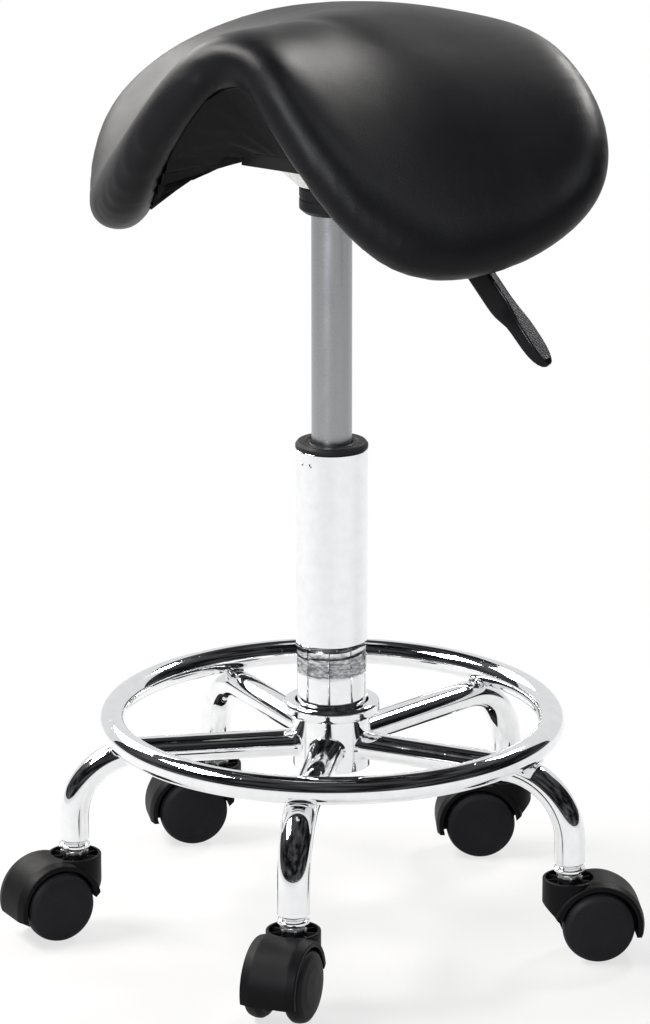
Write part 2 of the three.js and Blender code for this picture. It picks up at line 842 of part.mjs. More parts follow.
// Chrome socket pressed into the leg's open end, with its grooved lip below.
function stemSocket() {
  const legBore = Math.min(legEndWidth, legEndDepth) / 2 - legWall;
  const fit = legBore * Math.cos(Math.PI / tubeSides) - seatGap;
  const top = legEnd - seatGap;
  const bottom = top - socketLip;
  const chamfer = socketGroove / 2;
  return turned([
    [stemRadius + seatGap, bottom],
    [socketRadius - chamfer, bottom],
    [socketRadius, bottom + chamfer],
    [socketRadius, top - 2 * socketGroove],
    [fit, top - socketGroove],
    [socketRadius - chamfer, top],
    [fit, top],
    [fit, top + socketReach],
    [stemRadius + seatGap, top + socketReach],
  ], pinSides);
}

function addCaster(number, legAngle, trailAngle) {
  const place = spoke(legAngle, stemCircle);
  add(`stem_socket_${number}`, stemSocket(), chrome, place);
  add(`caster_${number}_stem`, stem(), zincSteel, place);
  const swivel = new THREE.Group();
  swivel.rotation.z = radians(trailAngle);
  place.add(swivel);
  add(`caster_${number}_hood`, hood(), blackPlastic, swivel);
  add(`caster_${number}_axle`, axle(), satinSteel, swivel);
  add(`caster_${number}_wheel_left`, wheel(1), blackPlastic, swivel);
  add(`caster_${number}_wheel_right`, wheel(-1), blackPlastic, swivel);
}

// Seat

// The outline on both sides, as points by distance ahead and to the side.
function outlinePoints() {
  const right = outlineShares.map(([ahead, side]) => [
    ahead * (ahead < 0 ? seatBack : seatFront),
    side * seatHalfWidth,
  ]);
  const left = right.slice(1, -1).reverse().map(([ahead, side]) => [ahead, -side]);
  return [...right, ...left];
}

// Even steps round a smooth closed curve through the outline's points.
function outlineRim() {
  const points = outlinePoints();
  const count = points.length;
  const wrapped = Array.from({ length: count + 5 }, (_, i) => points[(i - 2 + count) % count]);
  const stations = [0];
  for (let i = 1; i < wrapped.length; i += 1) {
    const [before, here] = [wrapped[i - 1], wrapped[i]];
    stations.push(stations[i - 1] + Math.sqrt(Math.hypot(here[0] - before[0], here[1] - before[1])));
  }
  const [start, end] = [stations[2], stations[2 + count]];
  return Array.from({ length: seatSides }, (_, i) => {
    const at = start + ((end - start) * i) / seatSides;
    return [0, 1].map((axis) => along(stations, wrapped.map((point) => point[axis]), at));
  });
}

function placesOf(shares) {
  return shares.map((share) => share * (share < 0 ? seatBack : seatFront));
}

// Height of the pad's middle layer: a spine with sides that fall away from a rounded ridge.
function padMiddle(ahead, side) {
  const spine = along(placesOf(spineStationShares), spineHeightShares, ahead) * spineRise;
  const slope = along(placesOf(slopeStationShares), sideSlopeShares, ahead);
  const ridge = along(placesOf(slopeStationShares), ridgeShares, ahead) * ridgeRadius;
  return seatLevel + spine - slope * (Math.sqrt(side * side + ridge * ridge) - ridge);
}

function padNormal(ahead, side) {
  const step = padThickness * stepShare;
  const forward = (padMiddle(ahead + step, side) - padMiddle(ahead - step, side)) / (2 * step);
  const sideways = (padMiddle(ahead, side + step) - padMiddle(ahead, side - step)) / (2 * step);
  return new THREE.Vector3(-forward, -sideways, 1).normalize();
}

function padPoint(rim, share) {
  const ahead = padPole + share * (rim[0] - padPole);
  const side = share * rim[1];
  return new THREE.Vector3(ahead, side, padMiddle(ahead, side));
}

// Distance from a share of the way out to the rim, along the pad's middle layer.
function reachToRim(rim, share) {
  let reach = 0;
  let before = padPoint(rim, share);
  for (const next of padShares.filter((value) => value > share)) {
    const here = padPoint(rim, next);
    reach += here.distanceTo(before);
    before = here;
  }
  return reach;
}

// A point on the pad's skin: face is 1 on top and -1 below; the rim is a half round.
function skinPoint(rim, share, face) {
  const middle = padPoint(rim, share);
  const radius = padThickness / 2;
  const inset = Math.max(radius - reachToRim(rim, share), 0);
  const rise = Math.sqrt(Math.max(radius * radius - inset * inset, 0));
  const normal = padNormal(middle.x, middle.y).multiplyScalar(face * rise);
  if (face < 0) {
    const side = Math.abs(middle.y);
    const most = foldShare * side;
    const kept = THREE.MathUtils.lerp(archShare, 1, THREE.MathUtils.smoothstep(side, archNear, archFar));
    normal.y = THREE.MathUtils.clamp(kept * normal.y, -most, most);
  }
  return middle.add(normal);
}

// Where the underside leaves the flat middle: a rounded oblong, a margin wider than the plate.
function flatPoint([ahead, side]) {
  const depths = Math.abs(ahead) / (plateDepth / 2 + plateMargin);
  const widths = Math.abs(side) / (plateLength / 2 + plateMargin);
  const scale = (depths ** platePower + widths ** platePower) ** (-1 / platePower);
  return new THREE.Vector3(ahead * scale, side * scale, plateTop + seatGap);
}

// The cloth underside: flat over the plate, then stretched straight out to the seam.
function underPoint(rim, share) {
  const seam = skinPoint(rim, seamShare, -1);
  return flatPoint(rim).lerp(seam, (share - flatShare) / (seamShare - flatShare));
}

// From distances ahead and to the side into the stool's frame.
function placed(point, lift = 0) {
  return new THREE.Vector3(point.y, -point.x, point.z + lift);
}

function seatRing(rims, share, layer, lift = 0) {
  return rims.map((rim) => placed(layer(rim, share), lift));
}

const boardLift = coverThickness + seatGap;
const recessLift = boardLift + boardThickness + seatGap;

function seatCushion() {
  const rims = outlineRim();
  const top = padShares.map((share) => (
    seatRing(rims, share, (rim, at) => skinPoint(rim, at, 1))
  ));
  const hem = hemShares.map((share) => seatRing(rims, share, (rim, at) => skinPoint(rim, at, -1)));
  const recess = [seamShare, boardShare, webShare, flatShare].map((share) => (
    seatRing(rims, share, underPoint, recessLift)
  ));
  return skinned([...top, ...hem, ...recess]);
}

// A layer that follows the underside between two lifts, out to a share of the way.
function underLayer(out, low, high) {
  const rims = outlineRim();
  const shares = [flatShare, webShare, out];
  const bottom = shares.map((share) => seatRing(rims, share, underPoint, low));
  const top = shares.slice().reverse().map((share) => seatRing(rims, share, underPoint, high));
  return skinned([...bottom, ...top]);
}

function boltHoles() {
  const [low, high] = [plateTop - overrun, plateTop + recessLift + overrun];
  return boltPlaces().map(([x, y]) => rod(boltRadius + seatGap, low, high, holeSides).translate(x, y, 0));
}

function dustCover() {
  return cut(underLayer(boardShare, 0, coverThickness), ...boltHoles());
}

function seatShell() {
  return cut(underLayer(boardShare, boardLift, boardLift + boardThickness), ...boltHoles());
}

// Assembly

stool.position.set(columnX, columnY, 0);

add('hub', hub(), chrome);
add('column_tube', columnTube(), chrome);
add('foot_ring', footRing(), chrome);
for (let i = 0; i < legCount; i += 1) {
  const angle = legTurn + (360 / legCount) * i;
  add(`leg_${i + 1}`, leg(), chrome).rotation.z = radians(angle);
  addCaster(i + 1, angle, trailAngles[i]);
}
add('guide_bush', guideBush(), blackPlastic);
add('thrust_bearing', thrustBearing(), satinSteel);
add('piston_rod', pistonRod(), satinSteel);
add('retaining_clip', retainingClip(), zincSteel);
add('piston', piston(), satinSteel);
add('gas_tube', gasTube(), satinSteel);
add('tube_gland', gland(), blackPlastic);
add('release_button', releaseButton(), zincSteel);
add('cone_socket', coneSocket(), zincSteel);
add('socket_collar', socketCollar(), blackPlastic);
add('seat_plate', seatPlate(), blackPaint);
boltPlaces().forEach(([x, y], i) => add(`plate_bolt_${i + 1}`, plateBolt(x, y), zincSteel));
add('lever_arm', leverArm(), zincSteel);
add('lever_pin', leverPin(), zincSteel);
add('lever_handle', leverHandle(), glossPlastic);
add('dust_cover', dustCover(), cloth);
add('seat_shell', seatShell(), plywood);
add('seat_cushion', seatCushion(), leather);

stool.updateMatrixWorld(true);

export default stool;
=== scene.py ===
"""Looks of a rolling saddle stool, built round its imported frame.

Sizes are in millimetres; mm() and put() turn them into metres.
"""

import json
import math

import bmesh
import bpy
from mathutils import Matrix, Vector
from mathutils.bvhtree import BVHTree

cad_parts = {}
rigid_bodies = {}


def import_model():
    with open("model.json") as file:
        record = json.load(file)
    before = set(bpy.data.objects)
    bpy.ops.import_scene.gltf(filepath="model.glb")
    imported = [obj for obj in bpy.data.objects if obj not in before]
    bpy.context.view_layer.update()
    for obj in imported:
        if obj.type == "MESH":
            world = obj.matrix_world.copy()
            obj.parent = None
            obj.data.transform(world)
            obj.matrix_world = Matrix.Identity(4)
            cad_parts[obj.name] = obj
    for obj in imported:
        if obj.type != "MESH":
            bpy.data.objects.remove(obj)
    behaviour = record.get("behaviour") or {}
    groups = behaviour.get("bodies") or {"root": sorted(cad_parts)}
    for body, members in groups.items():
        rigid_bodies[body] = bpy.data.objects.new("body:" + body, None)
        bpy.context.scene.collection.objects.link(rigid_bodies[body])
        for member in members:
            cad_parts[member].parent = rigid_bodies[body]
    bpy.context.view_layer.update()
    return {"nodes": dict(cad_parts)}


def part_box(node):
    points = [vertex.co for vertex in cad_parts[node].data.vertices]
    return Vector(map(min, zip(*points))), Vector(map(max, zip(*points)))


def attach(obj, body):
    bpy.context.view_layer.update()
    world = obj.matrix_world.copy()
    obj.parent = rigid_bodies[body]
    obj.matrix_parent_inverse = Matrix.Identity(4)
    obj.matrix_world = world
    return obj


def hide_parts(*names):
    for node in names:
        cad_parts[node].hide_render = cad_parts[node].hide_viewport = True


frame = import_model()
nodes = frame["nodes"]

# Where the column stands on the floor
COLUMN = (-8.93, 5.94, 0)

# Legs: their number, the first one's turn, and the circle of their stems
LEG_COUNT = 5
LEG_TURN = 27.8
LEG_STEP = 360 / LEG_COUNT
STEM_CIRCLE = 182
LEG_LEVEL = 128.8
LEG_WIDTH, LEG_HEIGHT = 23.5, 18.4
LEG_END_WIDTH, LEG_END_DEPTH = 22.5, 20.3
LEG_WALL = 1.5
LEG_ROOT = 24.5
LEG_BEND = 46
LEG_END = 68

# Foot ring and the beads that weld it to the legs
RING_RADIUS = 153.3
RING_TUBE = 9.5
RING_SEAM, RING_SEAM_HALF, RING_SEAM_RISE = 60, 3.2, 0.12
BEAD_RADIUS = 1.7
BEAD_STEP = 0.8
BEAD_POINTS = 15

# Hub and column; the step lies where the column's foot is drawn in
HUB_RADIUS = 27
HUB_BORE = 24.9
HUB_BOTTOM = 112
HUB_TOP = 159.8
FLANGE_RADIUS = 33.5
FLANGE_LOW = 150.5
COLUMN_RADIUS = 25
COLUMN_BORE = 23
COLUMN_FOOT = 119
COLUMN_FLOOR = 122
COLUMN_TOP = 341
ROD_HOLE = 4.6
STEP_LEVEL, STEP_REACH = 197, 9
DIMPLE_LEVEL = 333
DIMPLE_TURNS = (-18.1, -0.1)

# Bush, gas spring and seat socket
BUSH_BORE = 14.7
BUSH_FOOT = 265
BUSH_RIM = 341.2
TUBE_RADIUS = 14
TUBE_BORE = 12.3
TUBE_FOOT = 275
TUBE_TOP = 539.8
TUBE_CAP_LOW = 535.8
COLLAR_BOTTOM = 506.2
COLLAR_RADIUS = 22.2
COLLAR_TOP = 524.4
SOCKET_BORE = 14.3
SOCKET_RADIUS = 18.5
CONE_LOW = 509
CONE_TOP = 539.2

# Casters: each one's trail angle, and the sizes of the wheels, the hood and the stem
TRAIL_ANGLES = (-75.1, 39.9, -142.1, -134.1, -115.1)
TRAIL = 19
WHEEL_RADIUS = 25
WHEEL_BORE = 3.4
HOOD_RADIUS = 32
HOOD_HALF = 19.5
HOOD_EDGE = 30.2
BOSS_RADIUS = 18.6
BOSS_TOP = 56.5
CUP_TOP = 60
RIB_COUNT = 9
STEM_RADIUS = 5
STEM_TOP = 90
SOCKET_END = 81.7
PRONG_COUNT = 6
AXLE_RADIUS, AXLE_HALF = 3, 17.5

# Lever
LEVER_BEND = (62.5, 547.25)
LEVER_FALL = 48.3
HANDLE_START = 50


def mm(*values):
    """Millimetres as metres: one number, or a vector of three."""
    return values[0] / 1000 if len(values) == 1 else Vector(values) / 1000


# Materials


class Wire:
    """A node's output that can stand in sums and products."""

    def __init__(self, finish, socket):
        self.finish = finish
        self.socket = socket

    def math(self, operation, first, second):
        return self.finish.node("ShaderNodeMath", {"operation": operation}, {0: first, 1: second})

    def __add__(self, other):
        return self.math("ADD", self, other)

    def __sub__(self, other):
        return self.math("SUBTRACT", self, other)

    def __rsub__(self, other):
        return self.math("SUBTRACT", other, self)

    def __mul__(self, other):
        return self.math("MULTIPLY", self, other)

    __radd__ = __add__
    __rmul__ = __mul__


class Finish:
    """A node tree and the short ways to fill it."""

    def __init__(self, owner):
        owner.use_nodes = True
        self.owner = owner
        self.tree = owner.node_tree
        self.tree.nodes.clear()

    def node(self, kind, settings=None, sockets=None, out=0):
        """Adds a node, sets it, feeds its sockets and hands back one of its outputs."""
        made = self.tree.nodes.new(kind)
        for key, value in (settings or {}).items():
            if key == "stops":
                set_stops(made.color_ramp, value)
            else:
                setattr(made, key, value)
        for key, value in (sockets or {}).items():
            if isinstance(value, Wire):
                self.tree.links.new(value.socket, made.inputs[key])
            else:
                made.inputs[key].default_value = value
        return Wire(self, made.outputs[out]) if len(made.outputs) else None

    def place(self, stretch=(1, 1, 1), turn=(0, 0, 0)):
        """The place on the piece, stretched and turned for a pattern."""
        spot = self.node("ShaderNodeTexCoord", out="Object")
        return self.node("ShaderNodeMapping", None, {"Vector": spot, "Scale": stretch, "Rotation": turn})

    def noise(self, size, detail=2, stretch=(1, 1, 1), roughness=0.5):
        """Cloudy values from 0 to 1 whose lumps are about size millimetres wide."""
        sockets = {"Vector": self.place(stretch), "Scale": 1 / mm(size), "Detail": detail}
        return self.node("ShaderNodeTexNoise", None, {**sockets, "Roughness": roughness})

    def cells(self, size, feature="F1", where=None):
        """Distances in a pattern of cells about size millimetres wide."""
        sockets = {"Vector": where or self.place(), "Scale": 1 / mm(size)}
        return self.node("ShaderNodeTexVoronoi", {"feature": feature}, sockets, out="Distance")

    def ramp(self, value, low, high, start=0.0, end=1.0):
        """Values between low and high as value goes from one bound to the other."""
        sockets = {0: value, 1: low, 2: high, 3: start, 4: end}
        return self.node("ShaderNodeMapRange", {"clamp": True}, sockets)

    def blend(self, share, first, second):
        """The first colour turning into the second as share goes from 0 to 1."""
        sockets = {0: share, 6: first if isinstance(first, Wire) else (*first, 1), 7: (*second, 1)}
        return self.node("ShaderNodeMix", {"data_type": "RGBA"}, sockets, out=2)

    def bump(self, height, depth, before=None):
        """A relief of depth millimetres."""
        sockets = {"Height": height, "Distance": mm(depth), "Strength": 1.0}
        if before:
            sockets["Normal"] = before
        return self.node("ShaderNodeBump", None, sockets)

    def cover(self, sockets):
        """Ends the tree with a principled surface and hands back the material."""
        shader = self.node("ShaderNodeBsdfPrincipled", None, sockets)
        self.node("ShaderNodeOutputMaterial", None, {"Surface": shader})
        return self.owner


def set_stops(ramp, stops):
    while len(ramp.elements) > 1:
        ramp.elements.remove(ramp.elements[0])
    ramp.elements[0].position = stops[0][0]
    ramp.elements[0].color = stops[0][1]
    for place, colour in stops[1:]:
        ramp.elements.new(place).color = colour


def finish_called(name):
    return Finish(bpy.data.materials.new(name))


def chrome(name="chrome_plating", with_painted_reflection=False):
    """Bright plating: faint cloudy waves, wiping marks and a few tiny pits, and on request a painted dark
    reflection under the column's step.
    """
    f = finish_called(name)
    waves = f.noise(22, 1)
    wiping = f.noise(9, 4)
    pits = f.ramp(f.cells(3.1), 0.05, 0.11)
    colour = f.blend(f.ramp(wiping, 0.3, 0.75), (0.83, 0.84, 0.86), (0.9, 0.91, 0.92))
    # painted reflection: the plating turns dark grey in a wavy band under the step
    if with_painted_reflection:
        colour = f.blend(painted_step_reflection(f), colour, (0.17, 0.175, 0.185))
    relief = f.bump(waves, 0.05)
    return f.cover({
        "Base Color": colour,
        "Metallic": 1.0,
        "Roughness": f.ramp(wiping, 0.35, 0.8, 0.03, 0.09) + (1 - pits) * 0.12,
        "Normal": f.bump(pits, 0.015, relief),
    })


def painted_step_reflection(f):
    """A painted reflection: an uneven dark grey band just under the column's step."""
    height = f.node("ShaderNodeSeparateXYZ", None, {0: f.place()}, out=2)
    uneven = f.noise(8, 4) * 0.006 - 0.003
    level = height + uneven
    band = f.ramp(level, 0.1800, 0.1812) * f.ramp(level, 0.1995, 0.1965)
    return band * f.ramp(f.noise(4, 5, (1, 1, 3)), 0.34, 0.62, 0.3, 0.95)


def satin_steel():
    """Ground steel: fine lines round the tube and a soft uneven gloss."""
    f = finish_called("satin_steel")
    lines = f.noise(3, 2, (1, 1, 26))
    cloud = f.noise(16, 3, (1, 1, 0.4))
    return f.cover({
        "Base Color": f.blend(cloud, (0.3, 0.31, 0.32), (0.39, 0.4, 0.41)),
        "Metallic": 1.0,
        "Roughness": f.ramp(lines + cloud, 0.7, 1.3, 0.24, 0.36),
        "Normal": f.bump(lines, 0.02),
    })


def zinc_steel():
    """Zinc plate with its pale flakes."""
    f = finish_called("zinc_plate")
    flakes = f.cells(2.6)
    cloud = f.noise(7, 3)
    return f.cover({
        "Base Color": f.blend(f.ramp(flakes + cloud, 0.4, 1.3), (0.5, 0.51, 0.5), (0.72, 0.73, 0.71)),
        "Metallic": 1.0,
        "Roughness": f.ramp(cloud, 0.3, 0.7, 0.22, 0.4),
        "Normal": f.bump(cloud, 0.04),
    })


def black_paint():
    """Powder coat with its orange-peel skin."""
    f = finish_called("black_powder_coat")
    peel = f.noise(1.6, 2)
    cloud = f.noise(30, 3)
    return f.cover({
        "Base Color": f.blend(cloud, (0.005, 0.005, 0.0055), (0.009, 0.009, 0.01)),
        "Roughness": f.ramp(cloud, 0.3, 0.7, 0.36, 0.5),
        "Normal": f.bump(peel, 0.06),
        "Specular IOR Level": 0.2,
    })


def moulded_plastic(name, dark, light, gloss, grain, depth):
    """Moulded plastic with a fine spark-eroded grain and slight handling marks."""
    f = finish_called(name)
    pebbles = f.cells(grain, "SMOOTH_F1")
    cloud = f.noise(14, 4)
    scuffs = f.ramp(f.noise(5, 3, (1, 0.2, 1)), 0.62, 0.75)
    return f.cover({
        "Base Color": f.blend(cloud * 0.7 + scuffs * 0.3, dark, light),
        "Roughness": f.ramp(cloud, 0.3, 0.7, gloss, gloss + 0.1),
        "Normal": f.bump(pebbles, depth),
        "Specular IOR Level": 0.09,
    })


def lever_grip():
    """The lever's grip face: fine slanting ridges."""
    f = finish_called("lever_grip")
    where = f.place((1, 1, 1), (0, 0.2, 0.6))
    sockets = {"Vector": where, "Scale": 1 / mm(5), "Distortion": 1.5, "Detail": 2, "Detail Scale": 2}
    ridges = f.node("ShaderNodeTexWave", {"bands_direction": "X"}, sockets, out=1)
    cloud = f.noise(6, 3)
    return f.cover({
        "Base Color": f.blend(ridges * 0.5 + cloud * 0.5, (0.022, 0.022, 0.024), (0.05, 0.05, 0.054)),
        "Roughness": f.ramp(cloud, 0.3, 0.7, 0.4, 0.52),
        "Normal": f.bump(ridges + f.noise(0.7, 2) * 0.6, 0.12),
        "Specular IOR Level": 0.2,
    })


def leather():
    """Smooth coated leather: fine pebbled grain, faint creases and a slightly uneven sheen."""
    f = finish_called("seat_leather")
    sockets = {"Vector": f.place(), "Scale": 1 / mm(4), "Detail": 2}
    drift = f.node("ShaderNodeTexNoise", None, sockets, out=1)
    shifted = f.node("ShaderNodeVectorMath", {"operation": "MULTIPLY_ADD"}, {
        0: drift, 1: mm(1, 1, 1), 2: f.place(),
    })
    pebbles = f.cells(1.25, "DISTANCE_TO_EDGE", where=shifted)
    grain = f.ramp(pebbles, 0.0, 0.32)
    cloud = f.noise(46, 4)
    fine = f.noise(0.5, 2)
    worn = f.ramp(cloud, 0.3, 0.72)
    colour = f.blend(grain * 0.6 + worn * 0.4, (0.0018, 0.0018, 0.0025), (0.0034, 0.0034, 0.0044))
    soft = f.bump(f.noise(34, 2), 0.35)
    pebbled = f.bump(grain, 0.045, soft)
    return f.cover({
        "Base Color": colour,
        "Roughness": f.ramp(worn + (1 - grain) * 0.35, 0.0, 1.3, 0.36, 0.5),
        "Normal": f.bump(fine, 0.02, pebbled),
        "Specular IOR Level": 0.13,
    })


def bonded_cloth():
    """Thin bonded black cloth: matted fibres, pressed dimples and lint."""
    f = finish_called("bonded_cloth")
    fibres = f.noise(0.6, 5, (1, 1, 1), 0.75)
    strands = f.noise(1.4, 4, (4, 0.6, 1), 0.7)
    dimples = f.ramp(f.cells(1.8), 0.15, 0.45)
    lint = f.ramp(f.noise(1.1, 3), 0.7, 0.78)
    shade = strands * 0.7 + lint * 0.3
    return f.cover({
        "Base Color": f.blend(shade, (0.0022, 0.0022, 0.0023), (0.0065, 0.0065, 0.0067)),
        "Roughness": f.ramp(strands, 0.3, 0.7, 0.8, 0.92),
        "Normal": f.bump(fibres + dimples * 0.6, 0.14),
        "Specular IOR Level": 0.15,
    })


def plywood():
    """Plywood dyed black: long grain with pores."""
    f = finish_called("beech_ply")
    grain = f.noise(5, 5, (6, 0.35, 1.5), 0.65)
    pores = f.ramp(f.noise(1.0, 2, (5, 0.3, 1)), 0.62, 0.72)
    return f.cover({
        "Base Color": f.blend(grain * 0.8 + pores * 0.4, (0.02, 0.016, 0.012), (0.009, 0.0075, 0.006)),
        "Roughness": f.ramp(grain, 0.3, 0.7, 0.62, 0.8),
        "Normal": f.bump(grain, 0.1),
    })


CHROME = chrome()
# the column's plating carries a painted dark reflection in a band under its step
COLUMN_CHROME = chrome("column_plating", with_painted_reflection=True)
SATIN = satin_steel()
ZINC = zinc_steel()
PAINT = black_paint()
BUSH_PLASTIC = moulded_plastic(
    "bush_plastic", (0.007, 0.007, 0.0075), (0.016, 0.016, 0.017), gloss=0.38, grain=0.5, depth=0.02)
CASTER_PLASTIC = moulded_plastic(
    "caster_plastic", (0.001, 0.001, 0.0013), (0.0026, 0.0026, 0.0032), gloss=0.46, grain=0.6, depth=0.035)
WHEEL_PLASTIC = moulded_plastic(
    "wheel_plastic", (0.006, 0.006, 0.0075), (0.012, 0.012, 0.014), gloss=0.46, grain=0.7, depth=0.03)
LEVER_PLASTIC = moulded_plastic(
    "lever_plastic", (0.004, 0.004, 0.0045), (0.008, 0.008, 0.009), gloss=0.14, grain=1.2, depth=0.006)
GRIP = lever_grip()
LEATHER = leather()
CLOTH = bonded_cloth()
PLY = plywood()

# Modelling by hand


def unselect():
    if bpy.context.object and bpy.context.object.mode == "EDIT":
        bpy.ops.object.mode_set(mode="OBJECT")
    bpy.ops.object.select_all(action="DESELECT")


def take(piece):
    unselect()
    piece.select_set(True)
    bpy.context.view_layer.objects.active = piece
    return piece


def edit():
    bpy.ops.object.mode_set(mode="EDIT")
    bpy.ops.mesh.select_mode(type="VERT")
    bpy.ops.mesh.select_all(action="SELECT")


def leave():
    bpy.ops.object.mode_set(mode="OBJECT")


def fixed():
    """Keeps the piece's place, turn and size in its mesh."""
    bpy.ops.object.transform_apply(location=True, rotation=True, scale=True)
    return bpy.context.object


def started(name):
    piece = fixed()
    piece.name = name
    return piece


def pick(test, kind="FACE"):
    """In edit mode, selects only the corners, edges or faces whose middle and normal pass a test."""
    bpy.ops.mesh.select_mode(type=kind)
    bpy.ops.mesh.select_all(action="DESELECT")
    mesh = bmesh.from_edit_mesh(bpy.context.object.data)
    mesh.normal_update()
    if kind == "FACE":
        for face in mesh.faces:
            face.select_set(bool(test(face.calc_center_median() * 1000, face.normal)))
    elif kind == "VERT":
        for corner in mesh.verts:
            corner.select_set(bool(test(corner.co * 1000, corner.normal)))
    else:
        for side in mesh.edges:
            middle = (side.verts[0].co + side.verts[1].co) * 500
            along = (side.verts[1].co - side.verts[0].co).normalized()
            side.select_set(bool(test(middle, along)))
    bmesh.update_edit_mesh(bpy.context.object.data)


def reshape(piece, move):
    """Moves each corner to where move, which works in millimetres, sends it."""
    for corner in piece.data.vertices:
        corner.co = move(corner.co * 1000) / 1000
    piece.data.update()


def put(piece, turns=(), at=(0, 0, 0)):
    """Turns a piece about the origin, axis by axis in degrees, then moves it."""
    matrix = Matrix.Identity(4)
    for axis, degrees in turns:
        matrix = Matrix.Rotation(math.radians(degrees), 4, axis) @ matrix
    take(piece)
    piece.matrix_world = Matrix.Translation(mm(*at)) @ matrix
    return fixed()


def copied(piece, name):
    take(piece)
    bpy.ops.object.duplicate(linked=False)
    twin = bpy.context.object
    twin.name = name
    return twin


def joined(name, *parts):
    take(parts[0])
    for part in parts[1:]:
        part.select_set(True)
    bpy.ops.object.join()
    bpy.context.object.name = name
    return bpy.context.object


def modified(piece, kind, **settings):
    take(piece)
    modifier = piece.modifiers.new(kind.title(), kind)
    for key, value in settings.items():
        setattr(modifier, key, value)
    bpy.ops.object.modifier_apply(modifier=modifier.name)
    return piece


def softened(piece, width, segments=2, angle=35):
    """Rounds the piece's sharp edges."""
    return modified(piece, "BEVEL", width=mm(width), segments=segments, limit_method="ANGLE",
                    angle_limit=math.radians(angle))


def cut_with(piece, *cutters, mode="DIFFERENCE"):
    for cutter in cutters:
        modified(piece, "BOOLEAN", object=cutter, operation=mode, solver="EXACT")
        bpy.data.objects.remove(cutter)
    return piece


def smooth(piece, angle=33):
    take(piece)
    bpy.ops.object.shade_smooth_by_angle(angle=math.radians(angle))
    return piece


def rounded(line, closed):
    """Corners of (across, up, rounding) as points, with each rounding drawn as a short arc."""
    steps, most, run_in = 5, 0.44, 1.12
    corners = [(*corner, 0)[:3] for corner in line]
    points = []
    for i, (across, up, radius) in enumerate(corners):
        here = Vector((across, up))
        if radius == 0 or (not closed and i in (0, len(corners) - 1)):
            points.append(here)
            continue
        back = Vector(corners[i - 1][:2]) - here
        ahead = Vector(corners[(i + 1) % len(corners)][:2]) - here
        wanted = radius / math.tan(back.angle(ahead) / 2)
        reach = min(wanted, most * back.length, most * ahead.length)
        start, end = back.normalized() * reach, ahead.normalized() * reach
        points.append(here + start * run_in)
        for step in range(steps + 1):
            share = step / steps
            points.append(here + start * (1 - share) ** 2 + end * share ** 2)
        points.append(here + end * run_in)
    return points + points[:1] if closed else points


def turned(name, line, steps=96, closed=False):
    """Extrudes one corner along a line of (radius, height, rounding) and spins it about +Z."""
    points = rounded(line, closed)
    unselect()
    bpy.ops.mesh.primitive_plane_add(size=mm(1), location=mm(points[0][0], 0, points[0][1]))
    piece = started(name)
    edit()
    bpy.ops.mesh.merge(type="CENTER")
    for here, after in zip(points, points[1:]):
        step = after - here
        bpy.ops.mesh.extrude_vertices_move(TRANSFORM_OT_translate={"value": mm(step[0], 0, step[1])})
    bpy.ops.mesh.select_all(action="SELECT")
    bpy.ops.mesh.spin(steps=steps, angle=2 * math.pi, center=(0, 0, 0), axis=(0, 0, 1))
    return welded(piece)


def welded(piece):
    """Merges doubles and turns the faces outwards."""
    closest = 0.002
    take(piece)
    edit()
    bpy.ops.mesh.remove_doubles(threshold=mm(closest))
    bpy.ops.mesh.normals_make_consistent(inside=False)
    leave()
    return piece


def block(name, low, high):
    """A block between two corners, to be cut, bevelled or cut with."""
    unselect()
    middle = [(a + b) / 2 for a, b in zip(low, high)]
    bpy.ops.mesh.primitive_cube_add(size=1, location=mm(*middle))
    bpy.context.object.scale = mm(*[b - a for a, b in zip(low, high)])
    return started(name)


def wire_along(name, points, radius):
    """A round wire through points, made from a curve."""
    unselect()
    bpy.ops.curve.primitive_bezier_curve_add()
    shape = bpy.context.object
    shape.data.splines.clear()
    line = shape.data.splines.new("POLY")
    line.points.add(len(points) - 1)
    for spot, place in zip(line.points, points):
        spot.co = (*mm(*place), 1)
    shape.data.bevel_depth = mm(radius)
    shape.data.bevel_resolution = 3
    shape.data.use_fill_caps = True
    bpy.ops.object.convert(target="MESH")
    bpy.context.object.name = name
    return welded(fixed())


def dressed(piece, material, body, slot, *replaced, angle=33):
    """Gives a piece its finish, its body and the nodes that it stands for."""
    piece.data.materials.clear()
    piece.data.materials.append(material)
    smooth(piece, angle)
    return carried(piece, body, slot, *replaced)


def carried(piece, body, slot, *replaced):
    if replaced:
        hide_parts(*replaced)
    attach(piece, body)
    return piece


def cad_copy(node, name):
    """A merged copy of a node, with its flat faces made whole."""
    closest, flat_angle = 0.004, 1
    source = nodes[node]
    piece = bpy.data.objects.new(name, source.data.copy())
    bpy.context.scene.collection.objects.link(piece)
    take(piece)
    edit()
    bpy.ops.mesh.remove_doubles(threshold=mm(closest))
    bpy.ops.mesh.customdata_custom_splitnormals_clear()
    bpy.ops.mesh.dissolve_limited(angle_limit=math.radians(flat_angle))
    leave()
    return piece


# Base frame


def eased_section(place):
    """Eases the leg's oval from its root's width and height to those of its end."""
    bend = Vector((0, -(STEM_CIRCLE - LEG_BEND), LEG_LEVEL - LEG_BEND))
    if place.y > bend.y:
        return place
    fall = math.pi / 2 if place.z < bend.z else math.atan2(bend.y - place.y, place.z - bend.z)
    share = fall / (math.pi / 2)
    outward = Vector((0, -math.sin(fall), math.cos(fall)))
    middle = bend + outward * LEG_BEND
    if fall == math.pi / 2:
        middle.z = place.z
    lift = (place - middle).dot(outward)
    tall = 1 + (LEG_END_DEPTH / LEG_HEIGHT - 1) * share
    wide = 1 + (LEG_END_WIDTH / LEG_WIDTH - 1) * share
    return Vector((place.x * wide, middle.y, middle.z)) + outward * lift * tall


